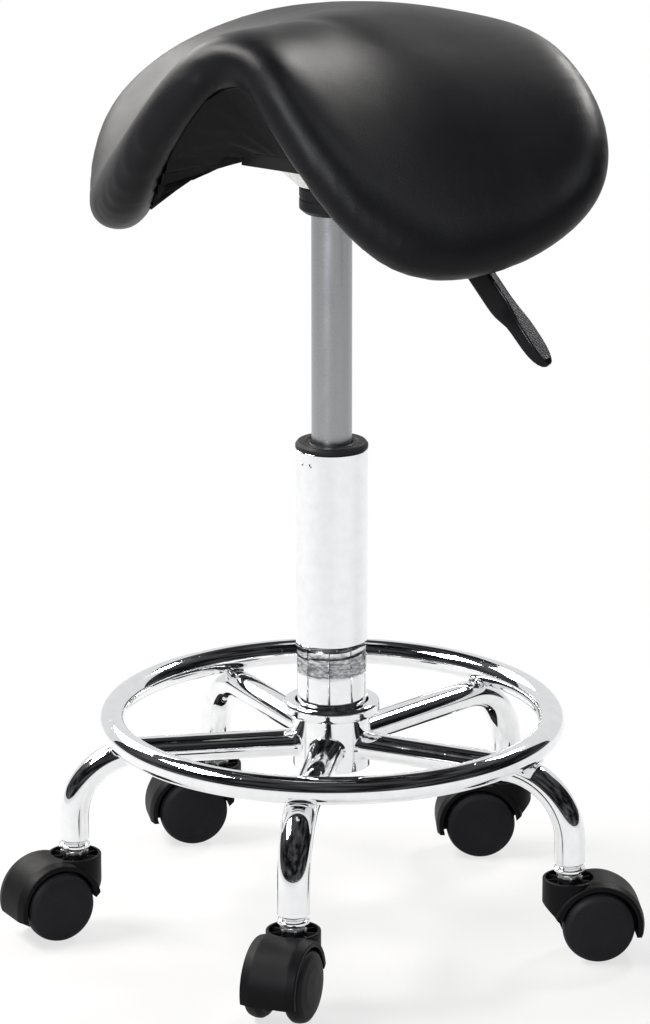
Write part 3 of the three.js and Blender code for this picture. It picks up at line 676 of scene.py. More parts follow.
def leg_tube():
    """One leg along -Y: an oval tube that starts in its weld, goes out level and bends straight down."""
    unselect()
    bpy.ops.mesh.primitive_circle_add(vertices=44, radius=mm(1), location=mm(0, -LEG_ROOT, LEG_LEVEL),
                                      rotation=(math.pi / 2, 0, 0))
    bpy.context.object.scale = (LEG_WIDTH / 2, LEG_HEIGHT / 2, 1)
    piece = started("leg_tube")
    edit()
    middle = mm(0, -LEG_ROOT, LEG_LEVEL)
    bpy.ops.transform.resize(value=(1.22, 1, 1.25), center_override=middle)
    weld = ((2.2, 0.93), (0.9, 0.94), (0.9, 0.96), (1.2, 0.979))
    for step, size in weld:
        slide = {"value": mm(0, -step, 0)}
        bpy.ops.mesh.extrude_region_move(TRANSFORM_OT_translate=slide)
        bpy.ops.transform.resize(value=(size, 1, size), center_override=middle)
    bend_start = STEM_CIRCLE - LEG_BEND
    lengths = 4
    straight = (bend_start - LEG_ROOT - sum(step for step, size in weld)) / lengths
    for _ in range(lengths):
        bpy.ops.mesh.extrude_region_move(TRANSFORM_OT_translate={"value": mm(0, -straight, 0)})
    centre = mm(0, -bend_start, LEG_LEVEL - LEG_BEND)
    bpy.ops.mesh.spin(steps=22, angle=-math.pi / 2, center=centre, axis=(1, 0, 0))
    drop = LEG_LEVEL - LEG_BEND - LEG_END
    bpy.ops.mesh.extrude_region_move(TRANSFORM_OT_translate={"value": mm(0, 0, 1 - drop)})
    bpy.ops.mesh.extrude_region_move(TRANSFORM_OT_translate={"value": mm(0, 0, -1)})
    leave()
    welded(piece)
    reshape(piece, cope)
    reshape(piece, eased_section)
    modified(piece, "SOLIDIFY", thickness=mm(LEG_WALL), offset=-1)
    return smooth(piece)


def cope(place):
    """Draws the weld's first rings back on to the hub's round side."""
    reach, easing, widest = 30, 3.2, 16
    if place.y < -reach:
        return place
    share = min(max((reach + place.y) / easing, 0), 1)
    sunk = HUB_RADIUS - math.sqrt(HUB_RADIUS ** 2 - min(abs(place.x), widest) ** 2)
    return place + Vector((0, sunk * share, 0))


def ring_weld():
    """Two beads that join the foot ring to a leg's crest."""
    level = ring_level()
    beads = []
    for side in (-1, 1):
        points = []
        for i in range(BEAD_POINTS):
            across = BEAD_STEP * (i - (BEAD_POINTS - 1) / 2)
            drop = LEG_HEIGHT / 2 * (1 - math.sqrt(1 - (across / (LEG_WIDTH / 2)) ** 2))
            reach = -RING_RADIUS - side * (4.2 + 0.25 * (i % 2))
            points.append((across, reach, level - RING_TUBE + 1.15 - drop * 0.75))
        beads.append(wire_along(f"bead{side}", points, BEAD_RADIUS))
    return smooth(joined("ring_weld", *beads), 60)


def ring_level():
    low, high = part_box("foot_ring")
    return (low.z + high.z) * 500


def foot_ring():
    """A tube's section spun round the column, with the faint swelling of its butt weld."""
    unselect()
    bpy.ops.mesh.primitive_circle_add(vertices=40, radius=mm(RING_TUBE), rotation=(math.pi / 2, 0, 0),
                                      location=mm(0, RING_RADIUS, ring_level()))
    bpy.context.object.rotation_euler = (math.pi / 2, 0, math.pi / 2)
    piece = started("foot_ring_tube")
    edit()
    bpy.ops.mesh.spin(steps=200, angle=2 * math.pi, center=(0, 0, 0), axis=(0, 0, 1))
    leave()
    welded(piece)
    take(piece)
    edit()
    pick(lambda middle, normal: middle.y > 0 and abs(middle.x - RING_SEAM) < RING_SEAM_HALF)
    bpy.ops.transform.shrink_fatten(value=mm(RING_SEAM_RISE))
    leave()
    return put(piece, at=COLUMN)


def base_frame():
    hub = turned("hub_collar", [
        (HUB_BORE, HUB_BOTTOM), (HUB_RADIUS, HUB_BOTTOM, 0.8), (HUB_RADIUS, FLANGE_LOW, 1.2),
        (FLANGE_RADIUS, FLANGE_LOW, 3.6), (FLANGE_RADIUS, HUB_TOP, 5), (25.8, HUB_TOP, 1),
        (HUB_BORE, 157, 0.4),
    ], 128, True)
    dressed(put(hub, at=COLUMN), CHROME, "base", "chrome", "hub")
    tube = column()
    dressed(put(tube, at=COLUMN), COLUMN_CHROME, "base", "chrome", "column_tube")
    dressed(foot_ring(), CHROME, "base", "chrome", "foot_ring", angle=60)
    leg, weld = leg_tube(), ring_weld()
    for number in range(1, LEG_COUNT + 1):
        turn = [("Z", LEG_TURN + LEG_STEP * (number - 1))]
        one = put(copied(leg, f"leg_tube_{number}"), turn, COLUMN)
        dressed(one, CHROME, "base", "chrome", f"leg_{number}")
        bead = put(copied(weld, f"ring_weld_{number}"), turn, COLUMN)
        dressed(bead, CHROME, "base", "chrome", angle=60)
    for model in (leg, weld):
        bpy.data.objects.remove(model)


def column():
    """The column tube: drawn-in foot, rolled top edge and two punched dimples that hold the bush."""
    piece = turned("column_sleeve", [
        (ROD_HOLE, COLUMN_FOOT), (23.9, COLUMN_FOOT, 0.6), (24.15, 172), (24.2, 180), (24.25, 191),
        (24.5, 194.2, 1), (24.5, 196, 0.5), (24.85, 199.4, 1), (COLUMN_RADIUS, 203.4, 1),
        (COLUMN_RADIUS, 206), (COLUMN_RADIUS, 300), (COLUMN_RADIUS, COLUMN_TOP, 0.7),
        (COLUMN_BORE, COLUMN_TOP, 0.5), (COLUMN_BORE, 190), (22.2, COLUMN_FLOOR), (ROD_HOLE, COLUMN_FLOOR),
    ], 128, True)
    dimples = []
    for turn in DIMPLE_TURNS:
        dimple = turned("dimple", [(0, -1.6), (1.1, -1.4), (1.5, 0.2), (1.6, 2), (0, 2)], 20)
        put(dimple, [("X", 90)], (0, -COLUMN_RADIUS, DIMPLE_LEVEL))
        dimples.append(put(dimple, [("Z", turn)]))
    cut_with(piece, *dimples)
    reshape(piece, waved_step)
    return piece


def waved_step(place):
    """Lets the step between the column's foot and its body run unevenly round it."""
    near = max(1 - abs(place.z - STEP_LEVEL) / STEP_REACH, 0)
    turn = math.atan2(place.x, -place.y)
    rise = 2.2 * math.sin(turn - 0.63) + 0.5 * math.sin(5 * turn)
    return place + Vector((0, 0, near * rise))


# Gas spring, bush and seat socket


def spring_and_socket():
    bush = turned("guide_bush_ring", [
        (BUSH_BORE, BUSH_FOOT), (22.6, BUSH_FOOT), (22.6, BUSH_RIM), (25.2, BUSH_RIM, 0.5),
        (25.2, 343.6, 0.9), (23.6, 345.7, 0.8), (18.6, 345.7, 0.6), (17.6, 344.4, 0.4), (15.6, 344.4, 0.4),
        (BUSH_BORE, 345.2, 0.4),
    ], 96, True)
    dressed(put(bush, at=COLUMN), BUSH_PLASTIC, "base", "black_plastic", "guide_bush")
    tube = turned("gas_spring_tube", [
        (TUBE_BORE, TUBE_FOOT), (13.2, TUBE_FOOT), (TUBE_RADIUS, 277, 0.6), (TUBE_RADIUS, COLLAR_BOTTOM),
        (13.1, 538.6), (12.4, TUBE_TOP), (3.5, TUBE_TOP), (3.5, TUBE_CAP_LOW), (11.4, TUBE_CAP_LOW),
        (TUBE_BORE, COLLAR_BOTTOM),
    ], 96, True)
    dressed(put(tube, at=COLUMN), SATIN, "lift", "satin_steel", "gas_tube")
    cone = turned("seat_cone", [
        (SOCKET_BORE, CONE_LOW), (SOCKET_RADIUS, CONE_LOW, 0.4), (SOCKET_RADIUS, 524.7, 0.5),
        (24, 526, 1.2), (37, 538, 1), (38, CONE_TOP, 0.3), (13.4, CONE_TOP), (13.8, 528),
    ], 96, True)
    dressed(put(cone, at=COLUMN), ZINC, "lift", "zinc_steel", "cone_socket")
    collar = turned("seat_collar", [
        (SOCKET_BORE, COLLAR_BOTTOM), (18.4, COLLAR_BOTTOM, 0.6), (COLLAR_RADIUS, 509.4, 1.8),
        (COLLAR_RADIUS, 516, 0.3), (21.7, 516.4, 0.2), (21.7, 517.6, 0.2), (COLLAR_RADIUS, 518, 0.3),
        (COLLAR_RADIUS, COLLAR_TOP, 0.9), (18.8, COLLAR_TOP), (18.8, 508.7), (SOCKET_BORE, 508.7),
    ], 96, True)
    dressed(put(collar, at=COLUMN), BUSH_PLASTIC, "lift", "black_plastic", "socket_collar")


def seat_metalwork():
    plate = softened(cad_copy("seat_plate", "pressed_plate"), 0.9, 3)
    dressed(plate, PAINT, "lift", "black_paint", "seat_plate")
    for number in range(1, 5):
        bolt = softened(cad_copy(f"plate_bolt_{number}", f"hex_bolt_{number}"), 0.5, 2, 40)
        dressed(bolt, ZINC, "lift", "zinc_steel", f"plate_bolt_{number}")
    arm = softened(cad_copy("lever_arm", "lever_bar"), 0.5, 2, 40)
    dressed(arm, ZINC, "lever", "zinc_steel", "lever_arm")
    hinge = softened(cad_copy("lever_pin", "lever_hinge_pin"), 0.4, 2, 40)
    dressed(hinge, ZINC, "lift", "zinc_steel", "lever_pin")


# Lever handle

# From the root to the tip: along, underside, top and half width
HANDLE_STATIONS = (
    (0, -8.7, 8.7, 4.0), (1.2, -8.7, 8.7, 4.05), (30, -8.7, 8.7, 4.05), (60, -8.7, 8.7, 4.05),
    (65, -8.5, 8.7, 4.15), (70, -7.4, 8.7, 4.7), (75, -5.4, 8.7, 5.6), (80, -3.2, 8.7, 6.6),
    (85, -2.3, 8.7, 7.2), (91, -2.0, 8.7, 7.45), (98, -1.8, 8.6, 7.5), (104, -1.4, 8.4, 7.2),
    (109, -0.7, 8.1, 6.4), (113, 0.3, 7.7, 5.0), (115.8, 1.6, 7.2, 3.2), (117, 3.0, 6.6, 1.4),
)


def handle():
    """A squared section extruded from the root to the tip and sized at each station."""
    corner, groove, sunk = 0.34, 0.7, 0.25
    along, low, high, half = HANDLE_STATIONS[0]
    unselect()
    bpy.ops.mesh.primitive_plane_add(size=mm(2), rotation=(0, math.pi / 2, 0))
    piece = started("lever_grip_body")
    edit()
    bpy.ops.mesh.bevel(offset=mm(corner), segments=5, affect="VERTICES")
    middle = (low + high) / 2
    bpy.ops.transform.resize(value=(1, half, (high - low) / 2), center_override=(0, 0, 0))
    bpy.ops.transform.translate(value=mm(along, 0, middle))
    for after in HANDLE_STATIONS[1:]:
        rise = (after[1] + after[2]) / 2 - middle
        slide = {"value": mm(after[0] - along, 0, rise)}
        bpy.ops.mesh.extrude_region_move(TRANSFORM_OT_translate=slide)
        sizes = (1, after[3] / half, (after[2] - after[1]) / (high - low))
        along, low, high, half = after
        middle = (low + high) / 2
        bpy.ops.transform.resize(value=sizes, center_override=mm(along, 0, middle))
    leave()
    welded(piece)
    take(piece)
    edit()
    pick(lambda middle, normal: normal.z > 0.93 and 3 < middle.x < 113)
    bpy.ops.mesh.inset(thickness=mm(groove), depth=mm(-sunk))
    leave()
    return piece


def lever_handle():
    """The handle with its pocket for the arm, its two finishes, and its place on the lever."""
    piece = handle()
    pocket = block("pocket", (-3, -2.9, -2.15), (34, 2.9, 2.15))
    cut_with(piece, pocket)
    piece.data.materials.clear()
    for material in (LEVER_PLASTIC, GRIP):
        piece.data.materials.append(material)
    for face in piece.data.polygons:
        middle = face.center * 1000
        if face.normal.z > 0.9 and 3 < middle.x < 113.5 and middle.z > 7.2:
            face.material_index = 1
    reshape(piece, lambda place: place + Vector((HANDLE_START, 0, 0)))
    smooth(piece, 30)
    put(piece, [("Y", LEVER_FALL)], (COLUMN[0] + LEVER_BEND[0], COLUMN[1], LEVER_BEND[1]))
    carried(piece, "lever", "gloss_plastic", "lever_handle")


# Casters


def wheel():
    """A wheel about +Z with its inner side down: crowned tread, rounded shoulder and domed cap."""
    return turned("wheel", [
        (WHEEL_BORE, 7), (8.5, 7, 0.4), (8.5, 10.2, 0.4), (19.3, 10.2, 0.6), (20.3, 8.8, 0.8),
        (22.9, 9.1, 2), (WHEEL_RADIUS, 12, 3), (WHEEL_RADIUS, 15.6, 4), (23.9, 19.2, 3), (20.6, 21.1, 4),
        (13, 22.2, 5), (0, 22.5), (0, 17.8), (WHEEL_BORE, 17.8),
    ])


def hood():
    """The caster's cover about its wheels' axle, with the boss, its ribbed cup and the tail."""
    cover = turned("hood", [
        (0, -HOOD_HALF), (HOOD_EDGE, -HOOD_HALF, 1.2), (HOOD_RADIUS, -13, 7), (HOOD_RADIUS, 13, 7),
        (HOOD_EDGE, HOOD_HALF, 1.2), (0, HOOD_HALF),
    ])
    put(cover, [("X", 90)], (TRAIL, 0, WHEEL_RADIUS))
    boss = turned("boss", [(0, 16), (BOSS_RADIUS, 16), (BOSS_RADIUS, BOSS_TOP, 0.9), (0, BOSS_TOP)], 72)
    cut_with(cover, boss, mode="UNION")
    web_half, room_width = 6.4, 33.6
    for low in (web_half, -web_half - room_width):
        room = turned("room", [(0, 0), (26.6, 0), (26.6, room_width), (0, room_width)])
        cut_with(cover, put(room, [("X", -90)], (TRAIL + 0.5, low, WHEEL_RADIUS + 0.4)))
    cup = turned("cup", [(8.6, 47.6), (16.6, 47.6, 0.8), (16.6, CUP_TOP), (8.6, CUP_TOP)], 72, True)
    bore = turned("bore", [(0, 33.5), (5.5, 33.5), (5.5, CUP_TOP), (0, CUP_TOP)], 48)
    floor = block("below", (-70, -40, -20), (90, 40, 18))
    chin = block("chin", (-40, -30, -30), (12, 30, 0))
    put(chin, [("Y", 43)], (-7.6, 0, 29))
    axle_bore = turned("axle_bore", [(0, -30), (3.2, -30), (3.2, 30), (0, 30)], 32)
    put(axle_bore, [("X", 90)], (TRAIL, 0, WHEEL_RADIUS))
    cut_with(cover, cup, bore, floor, chin, axle_bore)
    welded(cover)
    softened(cover, 0.6, 3, 40)
    ribs = []
    for i in range(RIB_COUNT):
        rib = block("rib", (8.2, -0.55, 46), (17, 0.55, 55.2))
        ribs.append(put(softened(rib, 0.25), [("Z", 360 / RIB_COUNT * (i + 0.5))]))
    return joined("hood", cover, *ribs)


def socket():
    """The chrome socket: a groove under the leg's end and a bulging lip."""
    return turned("socket", [
        (5.3, 60.7), (8.9, 60.7, 0.5), (11, 61.9, 0.8), (11, 63.9, 0.9), (8.7, 65.3, 0.5), (8.7, 66.1, 0.4),
        (10.2, 67.3, 0.4), (9.6, 67.7), (8.6, 67.7), (8.6, SOCKET_END), (5.3, SOCKET_END),
    ], 72, True)


def stem():
    """The stem with its collar and the six bent prongs of its spring ring."""
    pin = turned("stem", [
        (0, 34), (4.4, 34), (STEM_RADIUS, 34.6), (STEM_RADIUS, 56.8), (8, 56.8, 0.4), (8, 59.4, 0.4),
        (STEM_RADIUS, 59.4), (STEM_RADIUS, 89.4), (4.4, STEM_TOP), (0, STEM_TOP),
    ], 48)
    prongs = []
    for i in range(PRONG_COUNT):
        prong = block("prong", (7.8, -0.8, 55.7), (9.6, 0.8, 59))
        prongs.append(put(softened(prong, 0.2), [("Z", 360 / PRONG_COUNT * (i + 0.5))]))
    return joined("stem", pin, *prongs)


def axle():
    edge, end = AXLE_RADIUS - 0.5, AXLE_HALF - 0.5
    return turned("axle", [
        (0, -AXLE_HALF), (edge, -AXLE_HALF), (AXLE_RADIUS, -end), (AXLE_RADIUS, end), (edge, AXLE_HALF),
        (0, AXLE_HALF),
    ], 40)


def casters():
    models = {"socket": socket(), "stem": stem(), "hood": hood(), "wheel": wheel(), "axle": axle()}
    for number, trail_angle in enumerate(TRAIL_ANGLES, 1):
        spot = math.radians(LEG_TURN + LEG_STEP * (number - 1))
        at = (COLUMN[0] + STEM_CIRCLE * math.sin(spot), COLUMN[1] - STEM_CIRCLE * math.cos(spot), 0)
        turn = ("Z", trail_angle)

        def placed(model, name, turns=(), offset=(0, 0, 0)):
            piece = put(copied(models[model], name), turns, offset)
            return put(piece, [turn], at)

        base, body = f"stem_socket_{number}", f"caster_{number}"
        dressed(placed("socket", f"socket_{number}"), CHROME, "base", "chrome", base)
        dressed(placed("stem", f"stem_pin_{number}"), ZINC, "base", "zinc_steel", f"{body}_stem")
        dressed(placed("hood", f"hood_{number}"), CASTER_PLASTIC, body, "caster_plastic", f"{body}_hood")
        across = [("X", 90)]
        middle = (TRAIL, 0, WHEEL_RADIUS)
        pin = placed("axle", f"axle_pin_{number}", across, middle)
        dressed(pin, SATIN, body, "satin_steel", f"{body}_axle")
        for side, turns in (("left", [("X", -90)]), ("right", [("X", 90)])):
            one = placed("wheel", f"wheel_{number}_{side}", turns, middle)
            dressed(one, WHEEL_PLASTIC, f"{body}_{side}", "caster_plastic", f"{body}_wheel_{side}")
    for model in models.values():
        bpy.data.objects.remove(model)


# Seat

# The pad: its quads, its swelling under pressure, and what is filled out
PAD_GRID = 4.5
PINNED_REACH = 7
SWELL_MOST, SWELL_FORCE, SWELL_FRAMES = 1.8, 4, 20
EVEN_FILL = 2
LIP_CREST, LIP_SHOULDER, WING_EDGE = 2.7, 3.4, 4.2

# The cloth web: how far it runs under the hem, and its sag beside the plate
HEM_WIDTH, HEM_GAP = 4.5, 0.6
WEB_SAG = 8
PLATE_REACH = 85


def surface(mesh):
    """A finder of points on a mesh."""
    mesh.calc_loop_triangles()
    places = [corner.co.copy() for corner in mesh.vertices]
    return BVHTree.FromPolygons(places, [tuple(t.vertices) for t in mesh.loop_triangles])


def cushion():
    """The saddle: the frame's form in fine quads, blown up as cloth with its underside held."""
    piece = cad_copy("seat_cushion", "saddle_cushion")
    take(piece)
    edit()
    bpy.ops.mesh.quads_convert_to_tris()
    bpy.ops.mesh.tris_convert_to_quads()
    leave()
    modified(piece, "SUBSURF", levels=2, render_levels=2)
    modified(piece, "REMESH", mode="VOXEL", voxel_size=mm(PAD_GRID))
    board = surface(nodes["seat_shell"].data)
    places = [corner.co for corner in piece.data.vertices]
    held = [board.find_nearest(place, mm(PINNED_REACH))[0] is not None for place in places]
    inflate(piece, held)
    evened(piece, 8)
    filled_out(piece, board)
    modified(piece, "SUBSURF", levels=1, render_levels=1)
    dressed(piece, LEATHER, "lift", "seat_leather", "seat_cushion", angle=60)
    return piece


def eased(value, low, high):
    """A share that grows smoothly from 0 at low to 1 at high."""
    share = min(max((value - low) / (high - low), 0), 1)
    return share * share * (3 - 2 * share)


def filled_out(piece, board):
    """Fills the pad out evenly, and draws the arch's lip and the wings' lower edge to tighter ridges."""
    moves = []
    for corner in piece.data.vertices:
        place, normal = corner.co / mm(1), corner.normal
        up = math.degrees(math.atan2(normal.z, math.hypot(normal.x, normal.y)))
        away = board.find_nearest(corner.co)[3] / mm(1)
        front = eased(-place.y, 50, 84) * eased(-normal.y, 0.12, 0.4)
        shoulder = LIP_SHOULDER * eased(place.x, -4, 22) * eased(-place.x, -52, -26)
        crest = (LIP_CREST * eased(-place.x, -60, 5) + shoulder) * eased(place.x, -165, -120)
        lip = crest * max(1 - ((up - 42) / 30) ** 2, 0)
        wing = WING_EDGE * max(1 - ((up + 42) / 36) ** 2, 0) * eased(-place.x, 60, 110)
        moves.append(normal * mm(EVEN_FILL * eased(away, 6, 18) + front * (lip + wing)))
    for corner, move in zip(piece.data.vertices, spread(piece, moves, 8)):
        corner.co += move
    evened(piece, 2)


def evened(piece, rounds):
    """Smooths the whole surface a little."""
    take(piece)
    edit()
    bpy.ops.mesh.vertices_smooth(factor=0.5, repeat=rounds)
    leave()


def spread(piece, moves, rounds):
    """Evens the moves out between neighbouring corners."""
    for _ in range(rounds):
        sums, counts = [move.copy() for move in moves], [1] * len(moves)
        for edge in piece.data.edges:
            one, other = edge.vertices
            sums[one] += moves[other]
            sums[other] += moves[one]
            counts[one] += 1
            counts[other] += 1
        moves = [total / count for total, count in zip(sums, counts)]
    return moves


def inflate(piece, held):
    """Cloth pressure on the pad, with its underside pinned and each corner's way capped."""
    most = mm(SWELL_MOST)
    before = [corner.co.copy() for corner in piece.data.vertices]
    pins = piece.vertex_groups.new(name="held")
    pins.add([i for i, kept in enumerate(held) if kept], 1.0, "REPLACE")
    take(piece)
    swell = piece.modifiers.new("Swell", "CLOTH")
    swell.settings.use_pressure = True
    swell.settings.uniform_pressure_force = SWELL_FORCE
    swell.settings.vertex_group_mass = pins.name
    swell.settings.effector_weights.gravity = 0
    swell.settings.quality = 5
    for step in range(1, SWELL_FRAMES + 1):
        bpy.context.scene.frame_set(step)
    bpy.ops.object.modifier_apply(modifier=swell.name)
    bpy.context.scene.frame_set(1)
    for corner, start, kept in zip(piece.data.vertices, before, held):
        way = corner.co - start
        if way.length > most:
            way = way * (most / way.length)
        corner.co = start if kept else start + way


def underside(pad):
    """The cloth web under the seat, from hem to hem of the pad."""
    piece = cad_copy("dust_cover", "cloth_web")
    take(piece)
    edit()
    pick(lambda middle, normal: abs(normal.z) < 0.05)
    bpy.ops.mesh.extrude_region_shrink_fatten(TRANSFORM_OT_shrink_fatten={"value": mm(HEM_WIDTH)})
    leave()
    tucked(piece, surface(pad.data))
    take(piece)
    edit()
    bpy.ops.mesh.select_all(action="SELECT")
    bpy.ops.mesh.quads_convert_to_tris()
    bpy.ops.mesh.subdivide(number_cuts=5)
    leave()
    drawn_straight(piece)
    dressed(piece, CLOTH, "lift", "cover_cloth", "dust_cover", angle=50)
    return piece


def tucked(piece, leather_side):
    """Lays the selected rim against the leather hem over it."""
    start_below, search = 16, 30
    for corner in piece.data.vertices:
        if corner.select:
            below = corner.co - mm(0, 0, start_below)
            hit = leather_side.ray_cast(below, Vector((0, 0, 1)), mm(search))[0]
            corner.co.z = hit.z - mm(HEM_GAP) if hit else corner.co.z


def drawn_straight(piece):
    """Lets the web sag beside the plate and run straight to the rim, with a fold, on the left side."""
    slot_angle, near_axis = 4, 40
    places = []
    for corner in piece.data.vertices:
        flat = Vector((corner.co.x - mm(COLUMN[0]), corner.co.y - mm(COLUMN[1])))
        places.append((flat.length / mm(1), math.degrees(math.atan2(flat.y, flat.x)), corner.co.z / mm(1)))
    level = min(height for out, turn, height in places if out < near_axis)
    rim, plate = {}, {}
    for out, turn, height in places:
        slot = round(turn / slot_angle)
        rim[slot] = max(rim.get(slot, (0, 0)), (out, height))
        if abs(height - level) < 0.1 and out < PLATE_REACH:
            plate[slot] = max(plate.get(slot, 0), out)
    for corner, (out, turn, height) in zip(piece.data.vertices, places):
        slot = round(turn / slot_angle)
        start, (end, hem) = plate.get(slot, 60), rim[slot]
        sunk = level - WEB_SAG * eased(out, start - 8, start - 1)
        straight = sunk + (hem - sunk) * min(max((out - start) / max(end - start, 1), 0), 1)
        pull = eased(abs(turn), 116, 128) if turn < 0 else eased(turn, 100, 130)
        corner.co.z -= mm(max(height - straight, 0) * pull)


def inner_pieces():
    """The nodes that stay as they are get their finishes."""
    finishes = {
        "thrust_bearing": SATIN, "piston_rod": SATIN, "retaining_clip": ZINC, "piston": SATIN,
        "tube_gland": BUSH_PLASTIC, "release_button": ZINC, "seat_shell": PLY,
    }
    for name, material in finishes.items():
        mesh = nodes[name].data
        mesh.materials.clear()
        mesh.materials.append(material)


base_frame()
spring_and_socket()
seat_metalwork()
lever_handle()
casters()
underside(cushion())
inner_pieces()

# Camera, light and floor

CAMERA_TURN = 35.9
CAMERA_AT = (1905.57, -2638.86, 1243)
CAMERA_AIM = (-8.93, 5.94, 294.5)
CAMERA_LENS, CAMERA_FILM, CAMERA_SHIFT = 173.3, 36, -0.0066
CAMERA_END = 30000
WARM, COOL = (1.0, 0.975, 0.94), (0.93, 0.95, 1.0)

# Each lamp: degrees aside of the camera and up, how far, width, height, watts and colour
LAMPS = {
    "key": (-94, 45, 1900, 1000, 600, 76, WARM),
    "side": (-142, 28, 2100, 1200, 700, 30, WARM),
    "back": (144, 37, 2000, 420, 300, 30, WARM),
    "fill": (60, 42, 2300, 900, 1200, 20, COOL),
    "front": (-26, 22, 2100, 380, 560, 50, COOL),
}
OFF_CHROME = ("fill", "front")
LAMP_LEVEL = 350
ROOM_LIGHT, MIRRORED_LIGHT = 0.25, 0.8

# The dark room's openings, in degrees: over the floor, on the backdrop and overhead
ROOM_RADIUS = 3400
FLOOR_EDGE = 3
BACKDROP_SIDE, BACKDROP_TOP = 128, 40
OVERHEAD_SIDE, OVERHEAD_UP, OVERHEAD_REACH = 180, 82, 11
FLOOR_WIDTH = 30000
FLOOR_BRIGHT_SIDE = 40


def around(side, up, distance, level=LAMP_LEVEL):
    """A place seen from the stool: degrees aside of the camera, degrees up, and how far."""
    turn, lift = math.radians(CAMERA_TURN + side), math.radians(up)
    flat = distance * math.cos(lift)
    return Vector((flat * math.sin(turn), -flat * math.cos(turn), level + distance * math.sin(lift)))


def aimed(thing, at, aim):
    thing.location = mm(*at)
    thing.rotation_euler = (Vector(aim) - Vector(at)).to_track_quat("-Z", "Y").to_euler()


def camera():
    unselect()
    bpy.ops.object.camera_add()
    eye = bpy.context.object
    aimed(eye, CAMERA_AT, CAMERA_AIM)
    eye.data.lens = CAMERA_LENS
    eye.data.sensor_width = CAMERA_FILM
    eye.data.shift_x = CAMERA_SHIFT
    eye.data.clip_end = mm(CAMERA_END)
    bpy.context.scene.camera = eye


def softbox(name, side, up, distance, width, height, power, colour):
    unselect()
    bpy.ops.object.light_add(type="AREA")
    lamp = bpy.context.object
    lamp.name = name
    aimed(lamp, around(side, up, distance), (0, 0, LAMP_LEVEL))
    lamp.data.shape = "RECTANGLE"
    lamp.data.size, lamp.data.size_y = mm(width), mm(height)
    lamp.data.energy = power
    lamp.data.color = colour
    return lamp


def only_reflected(card):
    card.visible_camera = False
    card.visible_diffuse = False
    card.visible_shadow = False
    card.visible_transmission = False


def dark_room():
    """A dark shell that only reflections see, open to the pale floor, backdrop and ceiling."""
    unselect()
    bpy.ops.mesh.primitive_uv_sphere_add(segments=90, ring_count=60, radius=mm(ROOM_RADIUS))
    room = started("dark_room")
    edit()
    pick(lambda middle, normal: middle.z < 0 or pale_side(middle))
    bpy.ops.mesh.delete(type="FACE")
    leave()
    f = finish_called("dark_room_felt")
    folds = f.ramp(f.noise(900, 3, (0.5, 0.5, 1.6)), 0.42, 0.7)
    felt = f.blend(folds, (0.006, 0.006, 0.007), (0.1, 0.1, 0.104))
    f.node("ShaderNodeOutputMaterial", None, {
        "Surface": f.node("ShaderNodeEmission", None, {"Color": felt, "Strength": 1.0}),
    })
    room.data.materials.append(f.owner)
    only_reflected(room)


def pale_side(place):
    """Whether a place is pale: low down, on the backdrop behind the stool, or on the ceiling over it."""
    aside = math.degrees(math.atan2(place.x, -place.y)) - CAMERA_TURN
    aside = (aside + 180) % 360 - 180
    up = math.degrees(math.asin(place.z / place.length))
    overhead = around(OVERHEAD_SIDE, OVERHEAD_UP, 1, 0).angle(place) < math.radians(OVERHEAD_REACH)
    return up < FLOOR_EDGE or overhead or abs(aside) > BACKDROP_SIDE and up < BACKDROP_TOP


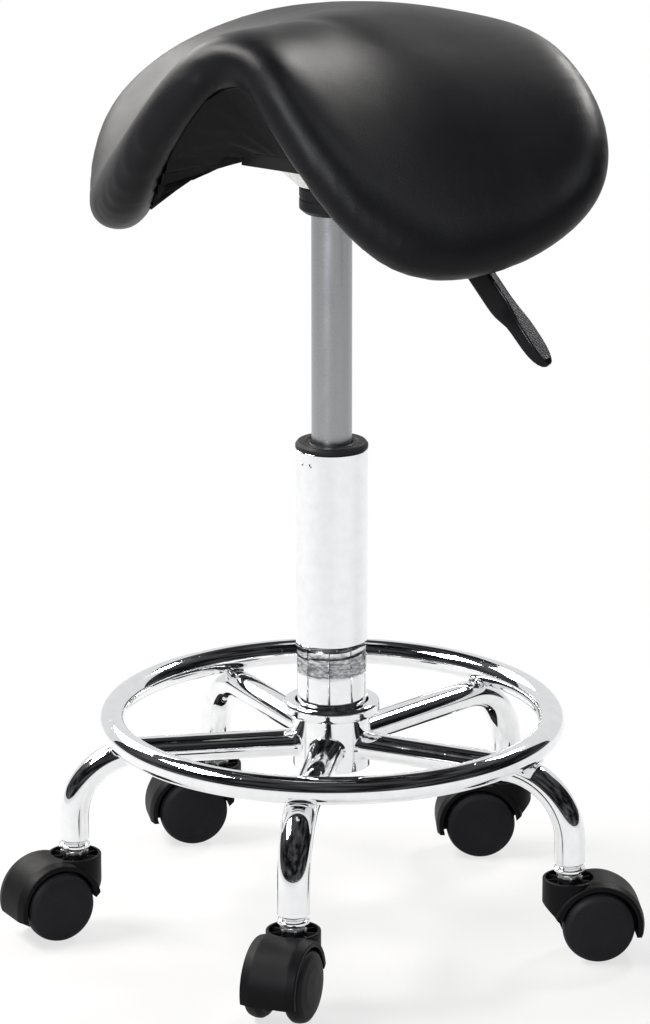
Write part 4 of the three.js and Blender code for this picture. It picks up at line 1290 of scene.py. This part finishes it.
def studio():
    """A pale world that reflections see a little darker, the lamps, and the dark room."""
    scene = bpy.context.scene
    scene.view_settings.view_transform = "Standard"
    world = bpy.data.worlds.new("studio")
    scene.world = world
    f = Finish(world)
    path = f.tree.nodes.new("ShaderNodeLightPath")
    seen = Wire(f, path.outputs["Is Camera Ray"]) + Wire(f, path.outputs["Is Transmission Ray"])
    mirrored = Wire(f, path.outputs["Is Glossy Ray"])
    shown = f.node("ShaderNodeMath", {"operation": "MAXIMUM"}, {0: seen, 1: mirrored * MIRRORED_LIGHT})
    strength = f.node("ShaderNodeMath", {"operation": "MAXIMUM"}, {0: shown, 1: ROOM_LIGHT})
    back = f.node("ShaderNodeBackground", None, {"Color": (1, 1, 1, 1), "Strength": strength})
    f.node("ShaderNodeOutputWorld", None, {"Surface": back})
    lamps = {name: softbox(name, *values) for name, values in LAMPS.items()}
    unplated = bpy.data.collections.new("unplated")
    for piece in scene.objects:
        if piece.type == "MESH" and not {CHROME, COLUMN_CHROME} & set(piece.data.materials):
            unplated.objects.link(piece)
    for name in OFF_CHROME:
        lamps[name].light_linking.receiver_collection = unplated
    dark_room()


def floor():
    """A pale floor that shows white further out, takes a soft shadow and is open from below."""
    unselect()
    bpy.ops.mesh.primitive_plane_add(size=mm(FLOOR_WIDTH))
    ground = bpy.context.object
    ground.name = "floor"
    f = finish_called("pale_floor")
    path = f.tree.nodes.new("ShaderNodeLightPath")
    seen = Wire(f, path.outputs["Is Camera Ray"]) + Wire(f, path.outputs["Is Transmission Ray"])
    outwards = f.node("ShaderNodeVectorMath", {"operation": "NORMALIZE"}, {0: f.place()})
    brightest = tuple(around(FLOOR_BRIGHT_SIDE, 0, 1, 0))
    sockets = {0: outwards, 1: brightest}
    toward = f.node("ShaderNodeVectorMath", {"operation": "DOT_PRODUCT"}, sockets, out=1)
    shown = f.node("ShaderNodeMath", {"operation": "MAXIMUM"}, {
        0: seen, 1: Wire(f, path.outputs["Is Glossy Ray"]) * f.ramp(toward, 0.72, 0.96, 0.78, 0.95),
    })
    away = f.node("ShaderNodeVectorMath", {"operation": "LENGTH"}, {0: f.place()}, out=1)
    glowing = shown * f.ramp(away, 0.25, 0.75, 0.72, 1.0)
    lit = f.node("ShaderNodeBsdfDiffuse", None, {"Color": (0.5, 0.5, 0.5, 1)})
    glow = f.node("ShaderNodeEmission", None, {"Color": (1, 1, 1, 1), "Strength": 1.0})
    top = f.node("ShaderNodeMixShader", None, {0: glowing, 1: lit, 2: glow})
    clear = f.node("ShaderNodeBsdfTransparent", None, {"Color": (1, 1, 1, 1)})
    under = f.node("ShaderNodeNewGeometry", out="Backfacing")
    f.node("ShaderNodeOutputMaterial", None, {
        "Surface": f.node("ShaderNodeMixShader", None, {0: under, 1: top, 2: clear}),
    })
    ground.data.materials.append(f.owner)


camera()
studio()
floor()

unselect()
